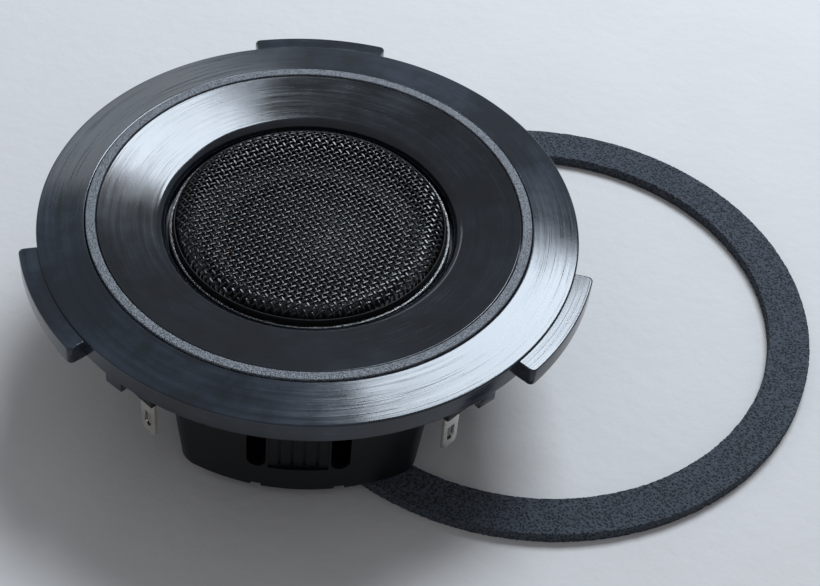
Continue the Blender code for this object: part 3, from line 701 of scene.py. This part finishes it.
SEAT_Z = 0.0
SKIRT_INNER_R, FLANGE_R = radii("front_bezel", SEAT_Z)
FACE_TOP_Z = heights("front_bezel")[1]
FACE_INNER_R = radii("front_bezel", FACE_TOP_Z)[1]
TAB_R = radii("front_bezel")[1]
TRIM_BOTTOM_Z, TRIM_TOP_Z = heights("trim_ring")
TRIM_INNER_R, TRIM_OUTER_R = radii("trim_ring")
THROAT_TUBE_R, HORN_R = radii("waveguide")
HORN_BOTTOM_Z, HORN_TOP_Z = heights("waveguide")
GRILLE_FOOT_R = radii("grille_mesh")[1]
GRILLE_BOTTOM_Z, GRILLE_TOP_Z = heights("grille_mesh")
DOME_R = radii("dome")[1]
DOME_BOTTOM_Z, DOME_TOP_Z = heights("dome")
BACK_Z = heights("rear_housing")[0]
PLATE_R = radii("rear_housing")[1]
PLATE_TOP_Z = heights("rear_housing")[1]
FLOOR_Z = heights("foam_gasket")[0]

FACE_Z = 2.7 * MM
BEZEL_UNDER_Z = FACE_Z - BEZEL_THICKNESS
LEDGE_Z = TRIM_BOTTOM_Z - GAP
LEDGE_R = FACE_INNER_R - LEDGE_WIDTH
HORN_LIP_R = 19.1 * MM
HORN_LIP_Z = FACE_Z - HORN_LIP_DROP
THROAT_R = GRILLE_FOOT_R + GAP
THROAT_EDGE_Z = FACE_Z - THROAT_DEPTH
THROAT_LEDGE_Z = GRILLE_BOTTOM_Z - GAP
TUBE_OUTER_R = 19.2 * MM


def tab_mesh(azimuth):
    """A bayonet tab: a short curved bar with rounded corners and edges."""
    start = math.radians(azimuth - TAB_SPAN / 2)
    inner = FLANGE_R - TAB_ROOT
    corner = TAB_CORNER_R / TAB_R
    top = FACE_Z - TAB_DROP
    edge = EDGE_ROUND

    def outline(level):
        inset, z = level
        outer = TAB_R - inset
        side = inset / TAB_R
        span = math.radians(TAB_SPAN) - 2 * side
        first = start + side
        points = []
        for k in range(TAB_CORNER_STEPS + 1):
            turn = math.pi / 2 * k / TAB_CORNER_STEPS
            radius = outer - TAB_CORNER_R * (1 - math.sin(turn))
            angle = first + corner * (1 - math.cos(turn))
            points.append((radius, angle))
        step = (span - 2 * corner) / TAB_ARC_STEPS
        arc = [(outer, first + corner + step * k) for k in range(1, TAB_ARC_STEPS)]
        mirrored = [(radius, 2 * first + span - angle) for radius, angle in reversed(points)]
        points = [(inner, first)] + points + arc + mirrored + [(inner, first + span)]
        return [(r * math.cos(a), r * math.sin(a), z) for r, a in points]

    bottom = top - TAB_THICKNESS
    bend = edge * EDGE_SHARE
    levels = [(edge, bottom), (bend, bottom + bend), (0.0, bottom + edge)]
    levels += [(0.0, top - edge), (bend, top - bend), (edge, top)]
    return loft(f"tab_{azimuth:.0f}", outline, levels)


def claw_mesh(azimuth):
    """A small block under the skirt."""
    low = (FLANGE_R - CLAW_WALL - CLAW_INSET, -CLAW_WIDTH / 2, SEAT_Z - CLAW_REACH)
    mesh = block(f"claw_{azimuth:.0f}", low, (low[0] + CLAW_WALL, CLAW_WIDTH / 2, SEAT_Z + CLAW_ROOT))
    mesh.transform(Matrix.Rotation(math.radians(azimuth), 4, "Z"))
    return shaped(mesh, bevel=MOULDED_ROUND)


def make_bezel():
    outline = [
        (FACE_INNER_R, FACE_TOP_Z),
        (FLANGE_R, FACE_Z),
        (FLANGE_R, SEAT_Z),
        (SKIRT_INNER_R, SEAT_Z),
        (SKIRT_INNER_R, BEZEL_UNDER_Z),
        (LEDGE_R, BEZEL_UNDER_Z),
        (LEDGE_R, LEDGE_Z),
        (FACE_INNER_R, LEDGE_Z),
    ]
    meshes = [lathe("bezel_ring", rounded(outline, EDGE_ROUND))]
    meshes += [tab_mesh(azimuth) for azimuth in TAB_AZIMUTHS]
    meshes += [claw_mesh(azimuth) for azimuth in CLAW_AZIMUTHS]
    piece(joined("bezel", meshes), "bezel", LOOKS["turned_black"], ["front_bezel"])


def make_trim():
    inner = TRIM_INNER_R - TRIM_SPREAD
    outer = TRIM_OUTER_R + TRIM_SPREAD
    outline = [(inner, TRIM_TOP_Z), (outer, TRIM_TOP_Z), (outer, TRIM_BOTTOM_Z), (inner, TRIM_BOTTOM_Z)]
    mesh = lathe("grained_ring", rounded(outline, TRIM_ROUND))
    piece(mesh, "grained_ring", LOOKS["grained_grey"], ["trim_ring"])


def make_horn():
    seat_r = LEDGE_R - GAP
    throat = []
    for k in range(ARC_STEPS + 1):
        turn = math.pi / 2 * k / ARC_STEPS
        radius = THROAT_R + (HORN_LIP_R - THROAT_R) * (1 - math.cos(turn))
        throat.append((radius, THROAT_EDGE_Z + (HORN_LIP_Z - THROAT_EDGE_Z) * math.sin(turn)))
    rest = [
        (HORN_R, HORN_TOP_Z),
        (HORN_R, TRIM_BOTTOM_Z),
        (seat_r, TRIM_BOTTOM_Z),
        (seat_r, BEZEL_UNDER_Z + GAP),
        (TUBE_OUTER_R, BEZEL_UNDER_Z),
        (TUBE_OUTER_R, HORN_BOTTOM_Z),
        (THROAT_TUBE_R, HORN_BOTTOM_Z),
        (THROAT_TUBE_R, THROAT_LEDGE_Z),
        (THROAT_R, THROAT_LEDGE_Z),
    ]
    outline = throat[:-1] + rounded([throat[-1], *rest], FINE_ROUND, False)
    mesh = lathe("horn", outline)
    piece(mesh, "horn", LOOKS["horn_black"], ["waveguide"])


# ---- Grille ----


def grille_height(radius):
    """Height of the domed mesh's middle surface at this distance from the axis."""
    shares = np.linspace(0.0, GRILLE_SHARES[-1], PROFILE_SAMPLES)
    slopes = np.interp(shares, GRILLE_SHARES, GRILLE_SLOPES)
    steps = (slopes[1:] + slopes[:-1]) / 2 * np.diff(shares)
    rise = np.concatenate([[0.0], np.cumsum(steps)]) * THROAT_TUBE_R
    curve = GRILLE_TOP_Z - RIDGE_DROP - rise.max() + rise
    shares = np.append(shares, 1.0)
    curve = np.append(curve, GRILLE_BOTTOM_Z + WIRE_R)
    return np.interp(np.abs(radius) / THROAT_TUBE_R, shares, curve)


def wire_path(offset, along, across):
    """Points along one wire over the dome, evenly spaced, with their distance along it in plan."""
    half = math.sqrt(THROAT_TUBE_R**2 - offset**2)
    dense = half * np.sin(np.linspace(-math.pi / 2, math.pi / 2, WIRE_SAMPLES))
    height = grille_height(np.hypot(dense, offset))
    length = np.concatenate([[0.0], np.cumsum(np.hypot(np.diff(dense), np.diff(height)))])
    count = max(6, round(length[-1] / WIRE_STEP))
    plan = np.interp(np.linspace(0.0, length[-1], count), length, dense)
    height = grille_height(np.hypot(plan, offset))
    points = np.outer(plan, along) + offset * across
    points[:, 2] += height
    return points, plan


def wire_tube(points, across):
    """Verts, outward directions and faces of a tube along the points, which turns about across."""
    tangent = np.gradient(points, axis=0)
    tangent /= np.linalg.norm(tangent, axis=1, keepdims=True)
    normal = np.cross(tangent, across)
    normal /= np.linalg.norm(normal, axis=1, keepdims=True)
    side = np.cross(normal, tangent)
    turns = math.pi / 2 + math.tau * (np.arange(WIRE_SIDES) + 0.5) / WIRE_SIDES
    outward = np.stack([math.cos(turn) * side + math.sin(turn) * normal for turn in turns], 1)
    verts = points[:, None] + WIRE_R * outward
    return verts.reshape(-1, 3), outward, grid_faces(len(points), WIRE_SIDES, False, True)


def make_grille():
    """Two crossing families of wires, woven over and under, on a flat foot under the ring.

    The cloth was pressed before it was formed, so each wire is shaded flat where it crosses over.
    """
    verts = []
    shading = []
    faces = []
    start = 0
    wires = int(THROAT_TUBE_R / WIRE_PITCH)
    for family in (0, 1):
        azimuth = math.radians(WEAVE_AZIMUTH + 90 * family)
        along = np.array([math.cos(azimuth), math.sin(azimuth), 0.0])
        across = np.array([-math.sin(azimuth), math.cos(azimuth), 0.0])
        for number in range(-wires, wires + 1):
            points, plan = wire_path(number * WIRE_PITCH, along, across)
            over = 1 if (number + family) % 2 == 0 else -1
            lift = over * np.cos(math.pi * plan / WIRE_PITCH)
            slope = np.gradient(points, axis=0)
            normal = np.cross(slope, across)
            normal *= np.sign(normal[:, 2:3]) / np.linalg.norm(normal, axis=1, keepdims=True)
            waved = points + WEAVE_RISES[family] * lift[:, None] * normal
            tube_verts, outward, tube_faces = wire_tube(waved, across)
            verts.append(tube_verts)
            crest = np.clip(FLAT_GAIN * lift - FLAT_START, 0.0, 1.0)[:, None]
            on_top = np.sum(outward * normal[:, None], axis=2) > FLAT_FACING
            flat = (crest * on_top)[:, :, None]
            shading.append(((1 - flat) * outward + flat * normal[:, None]).reshape(-1, 3))
            faces += [tuple(start + i for i in face) for face in tube_faces]
            start += len(tube_verts)
    cloth = bpy.data.meshes.new("wire_cloth")
    cloth.from_pydata(np.concatenate(verts).tolist(), [], faces)
    foot_top = GRILLE_BOTTOM_Z + GAP
    foot = [
        (THROAT_TUBE_R - WIRE_R, foot_top),
        (GRILLE_FOOT_R, foot_top),
        (GRILLE_FOOT_R, GRILLE_BOTTOM_Z),
        (THROAT_TUBE_R - WIRE_R, GRILLE_BOTTOM_Z),
    ]
    mesh = joined("wire_grille", [cloth, lathe("grille_foot", rounded(foot, FINE_ROUND))])
    piece(mesh, "wire_grille", LOOKS["mesh_steel"], ["grille_mesh"], sharp=SMOOTH)
    normals = [tuple(vertex.normal) for vertex in mesh.vertices]
    shading = np.concatenate(shading)
    shading /= np.linalg.norm(shading, axis=1, keepdims=True)
    normals[: len(shading)] = [tuple(normal) for normal in shading]
    mesh.normals_split_custom_set_from_vertices(normals)


def make_grille_ring():
    """The glossy bead round the grille, and the dark, matt fillet of glue that climbs from it to the mesh,
    which also serves as painted shade at the foot of the mesh's steep edge.
    """
    inner, outer = radii("grille_ring")
    bottom, top = heights("grille_ring")
    middle = (inner + outer) / 2
    half = BEAD_WIDTH / 2
    outline = [(middle - half, top), (middle + half, top), (middle + half, bottom), (middle - half, bottom)]
    mesh = lathe("grille_bead", rounded(outline, (top - bottom) * BEAD_ROUND_SHARE))
    piece(mesh, "grille_bead", LOOKS["gloss_black"], ["grille_ring"])
    wall = THROAT_TUBE_R + WIRE_R / 2
    fillet = [
        (wall, top + GLUE_AND_SHADE_RISE),
        (wall + WIRE_R, top + GLUE_AND_SHADE_RISE),
        (middle - half, top - WIRE_R),
        (middle - half, bottom),
        (wall, bottom),
    ]
    # Painted shade: this dark fillet covers the foot of the mesh's steep edge, where shade falls.
    mesh = lathe("glue_and_shade_fillet", rounded(fillet, FINE_ROUND))
    piece(mesh, "glue_and_shade_fillet", LOOKS["glue_and_shade"], ["grille_ring"])


# ---- Diaphragm ----


def make_dome():
    """The thin spherical dome, open below."""
    rise = DOME_TOP_Z - DOME_BOTTOM_Z - CLOTH
    radius = (DOME_R**2 + rise**2) / (2 * rise)
    half_angle = math.asin(DOME_R / radius)
    centre = DOME_TOP_Z - radius
    angles = np.linspace(0.0, half_angle, FORM_STEPS + 1)
    outer = [(radius * math.sin(a), centre + radius * math.cos(a)) for a in angles]
    thin = radius - CLOTH
    inner = [(thin * math.sin(a), centre + thin * math.cos(a)) for a in angles[::-1]]
    outline = outer + [(DOME_R, DOME_BOTTOM_Z), (inner[0][0], DOME_BOTTOM_Z)] + inner
    mesh = lathe("silk_dome", outline, False, SMALL_STEPS)
    piece(mesh, "silk_dome", LOOKS["silk"], ["dome"], "diaphragm")


def make_surround():
    """The half roll between dome and frame ring, with its foot. It bends as the dome moves."""
    inner_r, foot_r = radii("surround")
    bottom, top = heights("surround")
    roll_r = radii("surround", top)[0]
    half = roll_r - inner_r
    rise = top - bottom - CLOTH
    outer = []
    under = []
    for turn in np.linspace(math.pi, 0.0, FORM_STEPS + 1):
        height = bottom + rise * math.sin(turn)
        outer.append((roll_r + half * math.cos(turn), height + CLOTH))
        under.append((roll_r + (half - CLOTH) * math.cos(turn), height))
    outline = outer + [(foot_r, bottom + CLOTH), (foot_r, bottom)] + under[::-1] + [(inner_r, bottom)]
    mesh = lathe("surround_roll", outline, True, SMALL_STEPS)
    roll = piece(mesh, "surround_roll", LOOKS["coated_cloth"], ["surround"], None)
    flexing(roll, inner_r + CLOTH, roll_r + half)


# ---- Rear housing ----

CUP_R = radii("rear_housing", BACK_Z)[1]
CUP_HALF_WIDTH = radii("pot")[1] + CUP_SIDE_CLEARANCE + CUP_WALL


def cup_outline(inset, z):
    """A circle cut off by two flat sides that lean out with height, drawn in by inset."""
    half_width = CUP_HALF_WIDTH + CUP_DRAFT * (z - BACK_Z) - inset
    radius = CUP_R - inset
    corner = CUP_CORNER_R - inset
    centre_x = half_width - corner
    centre_y = math.sqrt((radius - corner) ** 2 - centre_x**2)
    bend = math.atan2(centre_y, centre_x)
    quarter = []
    for i in range(CUP_CORNER_STEPS + 1):
        angle = bend * i / CUP_CORNER_STEPS
        quarter.append((centre_x + corner * math.cos(angle), centre_y + corner * math.sin(angle)))
    for i in range(1, CUP_ARC_STEPS + 1):
        angle = bend + (math.pi / 2 - bend) * i / CUP_ARC_STEPS
        quarter.append((radius * math.cos(angle), radius * math.sin(angle)))
    half = quarter + [(-x, y) for x, y in reversed(quarter[:-1])]
    return [(x, y, z) for x, y in half + [(-x, -y) for x, y in half]]


def cup_block(name, inset, bottom, top, edge=0.0):
    """The cup's shape between two heights, with a rounded lower edge."""
    levels = [(inset, bottom), (inset, top)]
    if edge:
        bend = edge * EDGE_SHARE
        levels = [(inset + edge, bottom), (inset + bend, bottom + bend)]
        levels += [(inset, bottom + edge), (inset, top)]
    return loft(name, lambda level: cup_outline(*level), levels)


def slot_prism(name, centre_x, sill, width, height, near, far):
    """A slot with a round lower end, pushed through along Y."""
    half = width / 2
    outline = []
    for i in range(ARC_STEPS + 1):
        angle = math.pi * (1 + i / ARC_STEPS)
        outline.append((centre_x + half * math.cos(angle), sill + half + half * math.sin(angle)))
    outline += [(centre_x + half, sill + height), (centre_x - half, sill + height)]
    return loft(name, lambda y: [(x, y, z) for x, z in outline], (near, far))


def latch_cuts(side):
    """Slots, recessed panel, flutes and notches in the wall that faces side along Y."""
    inner = side * (CUP_R - CUP_WALL - CUT_PAST)
    outer = side * (CUP_R + CUT_PAST)
    sill = BACK_Z + SLOT_SILL
    cuts = []
    for x in (-SLOT_X, SLOT_X):
        cuts.append(slot_prism("slot", x, sill, SLOT_WIDTH, SLOT_HEIGHT, inner, outer))
        low = (x - NOTCH_WIDTH / 2, min(inner, outer), BACK_Z - NOTCH_HEIGHT)
        cuts.append(block("notch", low, (x + NOTCH_WIDTH / 2, max(inner, outer), BACK_Z + NOTCH_HEIGHT)))
    panel = side * (CUP_R - PANEL_DEPTH)
    low = (-PANEL_WIDTH / 2, min(panel, outer), sill)
    cuts.append(block("panel", low, (PANEL_WIDTH / 2, max(panel, outer), sill + SLOT_HEIGHT)))
    flute = side * (CUP_R - PANEL_DEPTH - FLUTE_DEPTH)
    for number in range(FLUTE_COUNT):
        x = (number - (FLUTE_COUNT - 1) / 2) * FLUTE_PITCH
        low = (x - FLUTE_WIDTH / 2, min(flute, outer), sill + FLUTE_WIDTH)
        high = (x + FLUTE_WIDTH / 2, max(flute, outer), sill + SLOT_HEIGHT - FLUTE_WIDTH)
        cuts.append(block("flute", low, high))
    return cuts


def make_housing():
    """The plate under the bezel, the round shoulder and the cup, hollowed and pierced."""
    plate_bottom = PLATE_TOP_Z - PLATE_THICKNESS
    middle = plate_bottom + PLATE_THICKNESS / 2
    well_r = TUBE_OUTER_R + GAP
    shoulder_r = well_r + SHOULDER_WALL
    seat_z = heights("diaphragm_frame")[0] - GAP
    shoulder_bottom = seat_z - SHOULDER_FLOOR
    bore_r = radii("pot")[1] + GAP
    cup = cup_block("housing", 0.0, BACK_Z, middle, CUP_EDGE)
    plate = [(0.0, PLATE_TOP_Z), (PLATE_R, PLATE_TOP_Z), (PLATE_R, plate_bottom), (0.0, plate_bottom)]
    shoulder = [(0.0, middle), (shoulder_r, middle), (shoulder_r, shoulder_bottom), (0.0, shoulder_bottom)]
    well = [(0.0, PLATE_TOP_Z + MM), (well_r, PLATE_TOP_Z + MM), (well_r, seat_z), (0.0, seat_z)]
    past = shoulder_bottom - MM
    bore = [(0.0, PLATE_TOP_Z + MM), (bore_r, PLATE_TOP_Z + MM), (bore_r, past), (0.0, past)]
    added = (("plate", plate), ("shoulder", shoulder))
    unions = [lathe(name, outline, False, HOUSING_STEPS) for name, outline in added]
    removed = (("well", well), ("bore", bore))
    cuts = [lathe(name, outline, False, HOUSING_STEPS) for name, outline in removed]
    cuts.append(cup_block("hollow", CUP_WALL, BACK_Z - MM, shoulder_bottom - GAP))
    cuts += latch_cuts(-1) + latch_cuts(1)
    mesh = shaped(cup, unions, cuts, CUP_BEVEL)
    piece(mesh, "cup_housing", LOOKS["moulded_black"], ["rear_housing"])


def make_cover():
    bottom, top = heights("rear_cover")
    mesh = cup_block("cover", CUP_WALL + GAP, bottom, top, CUP_EDGE)
    piece(mesh, "cover_plate", LOOKS["moulded_black"], ["rear_cover"])


# ---- Terminals ----


def blade_spot(side):
    """Where the blade on that side stands, and how it is turned."""
    low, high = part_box("terminal_right")
    place = Vector((side * (low.x + high.x) / 2, (low.y + high.y) / 2, 0.0))
    return Matrix.Translation(place) @ Matrix.Rotation(math.radians(side * BLADE_TURN), 4, "Z")


def make_terminal(side, label):
    """A thin blade with a rounded tip and an eye, and the carrier that holds it."""
    spot = blade_spot(side)
    tip, root = heights(f"terminal_{label}")
    half = BLADE_WIDTH / 2
    thick = BLADE_THICKNESS / 2
    outline = rounded([(half, root), (half, tip), (-half, tip), (-half, root)], BLADE_CORNER_R, False)
    blade = loft(f"blade_{label}", lambda y: [(x, y, z) for x, z in outline], (-thick, thick))
    eye = slot_prism("eye", 0.0, tip + BLADE_EYE_MARGIN, BLADE_EYE_WIDTH, BLADE_EYE_LENGTH, -MM, MM)
    blade = shaped(blade, cuts=[eye], bevel=BLADE_BEVEL)
    blade.transform(spot)
    piece(blade, f"blade_{label}", LOOKS["tinned_brass"], [f"terminal_{label}"])

    bottom, top = heights(f"terminal_carrier_{label}")
    near = -thick - GAP - CARRIER_OUTER_WALL
    low = (-CARRIER_WIDTH / 2, near, bottom)
    carrier = block(f"carrier_{label}", low, (CARRIER_WIDTH / 2, near + CARRIER_DEPTH, top))
    slit = block("slit", (-half - GAP, -thick - GAP, bottom - MM), (half + GAP, thick + GAP, top + MM))
    carrier = shaped(carrier, cuts=[slit], bevel=MOULDED_ROUND)
    carrier.transform(spot)
    name = f"carrier_{label}"
    piece(carrier, name, LOOKS["moulded_black"], [f"terminal_carrier_{label}"])


# ---- Foam and felt ----


def pores(points, normals, depth, size):
    """The points pushed in where a cell of open foam is cut, with a little unevenness."""
    moved = []
    for point, normal in zip(points, normals):
        place = Vector(point) / size
        distance = noise.voronoi(place)[0][0]
        swell = noise.noise(place * SWELL_RATE)
        push = SWELL_SHARE * depth * swell - depth * max(0.0, 1.0 - PORE_STEEPNESS * distance)
        moved.append(np.array(point) + push * np.array(normal))
    return moved


def make_gasket():
    """The loose ring: a flat band of open foam, a little egg-shaped."""
    low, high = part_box("foam_gasket")
    centre = Vector(((low.x + high.x) / 2, (low.y + high.y) / 2))
    points = points_of("foam_gasket")
    reach = np.hypot(points[:, 0] - centre.x, points[:, 1] - centre.y)
    inner_r = reach.min() + GASKET_EGG
    outer_r = reach.max() - GASKET_EGG
    width = outer_r - inner_r
    corners = [(-width / 2, low.z), (width / 2, low.z), (width / 2, high.z), (-width / 2, high.z)]
    normals = [(0, -1), (1, 0), (0, 1), (-1, 0)]
    section = []
    for index in range(4):
        start = np.array(corners[index])
        end = np.array(corners[(index + 1) % 4])
        step = FOAM_STEP if index else UNDERSIDE_STEP
        count = max(2, round(np.linalg.norm(end - start) / step))
        for k in range(count):
            section.append((start + (end - start) * (k + 0.5) / count, normals[index], index))
    around = round(math.tau * (inner_r + outer_r) / 2 / FOAM_STEP)
    egg = math.radians(GASKET_EGG_AZIMUTH)
    places = []
    outward = []
    for i in range(around):
        angle = math.tau * i / around
        middle = (inner_r + outer_r) / 2 + GASKET_EGG * math.cos(2 * (angle - egg))
        cos = math.cos(angle)
        sin = math.sin(angle)
        for (offset, z), (out, up), index in section:
            places.append((centre.x + (middle + offset) * cos, centre.y + (middle + offset) * sin, z))
            outward.append((out * cos, out * sin, up) if index else (0.0, 0.0, 0.0))
    moved = pores(places, outward, PORE_DEPTH, PORE_SIZE)
    mesh = bpy.data.meshes.new("foam_ring")
    mesh.from_pydata([tuple(p) for p in moved], [], grid_faces(around, len(section), True, True))
    ring = piece(mesh, "foam_ring", LOOKS["foam"], ["foam_gasket"], "gasket", SMOOTH)


def make_pad(name, node, slot, size, depth):
    """A flat round pad with an uneven surface."""
    outer = radii(node)[1]
    bottom, top = heights(node)
    ring = [(outer * k / PAD_RINGS, top) for k in range(PAD_RINGS + 1)]
    ring += [(outer, bottom + (top - bottom) * k / PAD_LAYERS) for k in range(PAD_LAYERS - 1, 0, -1)]
    ring += [(outer * k / PAD_RINGS, bottom) for k in range(PAD_RINGS, -1, -1)]
    mesh = lathe(name, ring, False, SMALL_STEPS)
    points = [vertex.co for vertex in mesh.vertices]
    normals = [vertex.normal for vertex in mesh.vertices]
    for vertex, place in zip(mesh.vertices, pores(points, normals, depth, size)):
        vertex.co = place
    pad = piece(mesh, name, LOOKS[slot], [node], sharp=SMOOTH)


# ---- Parts kept from the CAD, with better materials ----


def dress(node, look):
    """Gives a CAD node a finished material."""
    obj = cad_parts[node]
    for material_slot in obj.material_slots:
        material_slot.material = LOOKS[look]


# ---- Stage ----


def make_floor():
    """A plain pale floor, faintly uneven, under the gasket and the housing."""
    mesh = bpy.data.meshes.new("floor")
    far = FLOOR_REACH
    mesh.from_pydata([(-far, -far, 0), (far, -far, 0), (far, far, 0), (-far, far, 0)], [], [(0, 1, 2, 3)])
    floor = bpy.data.objects.new("floor", mesh)
    floor.location.z = FLOOR_Z
    bpy.context.scene.collection.objects.link(floor)
    look = Look("floor", 0.85, 0.0, 0.2)
    cloud = look.noise(14 * MM, None, 3.0)
    look.set("Base Color", look.mix(cloud, FLOOR_DARK, FLOOR_LIGHT))
    look.set("Normal", look.bump(look.noise(2.2 * MM, None, 3.0), 0.25 * MM, 0.5))
    mesh.materials.append(look.material)


def ceiling_light(name, centre, turn, width, depth, radiance, colour):
    """A level rectangle that shines down, turned about the vertical."""
    light = bpy.data.lights.new(name, "AREA")
    light.shape = "RECTANGLE"
    light.size = width
    light.size_y = depth
    light.energy = radiance * math.pi * width * depth
    light.color = colour
    obj = bpy.data.objects.new(name, light)
    obj.location = centre
    obj.rotation_euler.z = math.radians(turn)
    bpy.context.scene.collection.objects.link(obj)


def make_light():
    """One cool window high behind the object, a dim strip of wall beyond it, and a pale room."""
    turn = math.radians(WINDOW_TURN)
    beyond = Vector((-math.sin(turn), math.cos(turn), 0.0))
    strip = Vector(WINDOW_CENTRE) + beyond * (WINDOW_DEPTH / 2 + STRIP_GAP + STRIP_DEPTH / 2)
    width = WINDOW_WIDTH
    for name, centre, turned, across, depth, radiance, colour in (
        ("window", WINDOW_CENTRE, WINDOW_TURN, width, WINDOW_DEPTH, WINDOW_RADIANCE, WINDOW_COLOUR),
        ("strip", strip, WINDOW_TURN, width, STRIP_DEPTH, STRIP_RADIANCE, STRIP_COLOUR),
        ("glow", GLOW_CENTRE, GLOW_TURN, GLOW_WIDTH, GLOW_DEPTH, GLOW_RADIANCE, GLOW_COLOUR),
    ):
        ceiling_light(name, centre, turned, across, depth, radiance, colour)
    world = bpy.data.worlds.new("room")
    world.use_nodes = True
    background = world.node_tree.nodes["Background"]
    background.inputs["Color"].default_value = ROOM_COLOUR
    background.inputs["Strength"].default_value = ROOM_LIGHT
    bpy.context.scene.world = world
    bpy.context.scene.view_settings.view_transform = "Standard"


def make_camera():
    data = bpy.data.cameras.new("camera")
    data.sensor_width = CAMERA_SENSOR
    data.lens = CAMERA_LENS
    data.clip_start = CAMERA_CLIP_START
    camera = bpy.data.objects.new("camera", data)
    right = Vector(CAMERA_RIGHT)
    up = Vector(CAMERA_UP)
    turn = Matrix((right, up, right.cross(up))).transposed()
    camera.matrix_world = Matrix.Translation(CAMERA_PLACE) @ turn.to_4x4()
    bpy.context.scene.collection.objects.link(camera)
    bpy.context.scene.camera = camera


def main():
    make_bezel()
    make_trim()
    make_horn()
    make_grille()
    make_grille_ring()
    make_dome()
    make_surround()
    make_housing()
    make_cover()
    make_terminal(-1, "left")
    make_terminal(1, "right")
    make_gasket()
    make_pad("motor_cushion", "rear_foam_pad", "foam", PORE_SIZE, PORE_DEPTH)
    make_pad("felt_disc", "dome_damping_pad", "felt", CLUMP_SIZE, CLUMP_DEPTH)
    for node, look in (
        ("coil_former", "aluminium"),
        ("voice_coil", "copper"),
        ("lead_wire_left", "copper"),
        ("lead_wire_right", "copper"),
        ("top_plate", "zinc_steel"),
        ("pot", "zinc_steel"),
        ("magnet", "magnet_nickel"),
        ("diaphragm_frame", "moulded_black"),
    ):
        dress(node, look)
    make_floor()
    make_light()
    make_camera()


main()
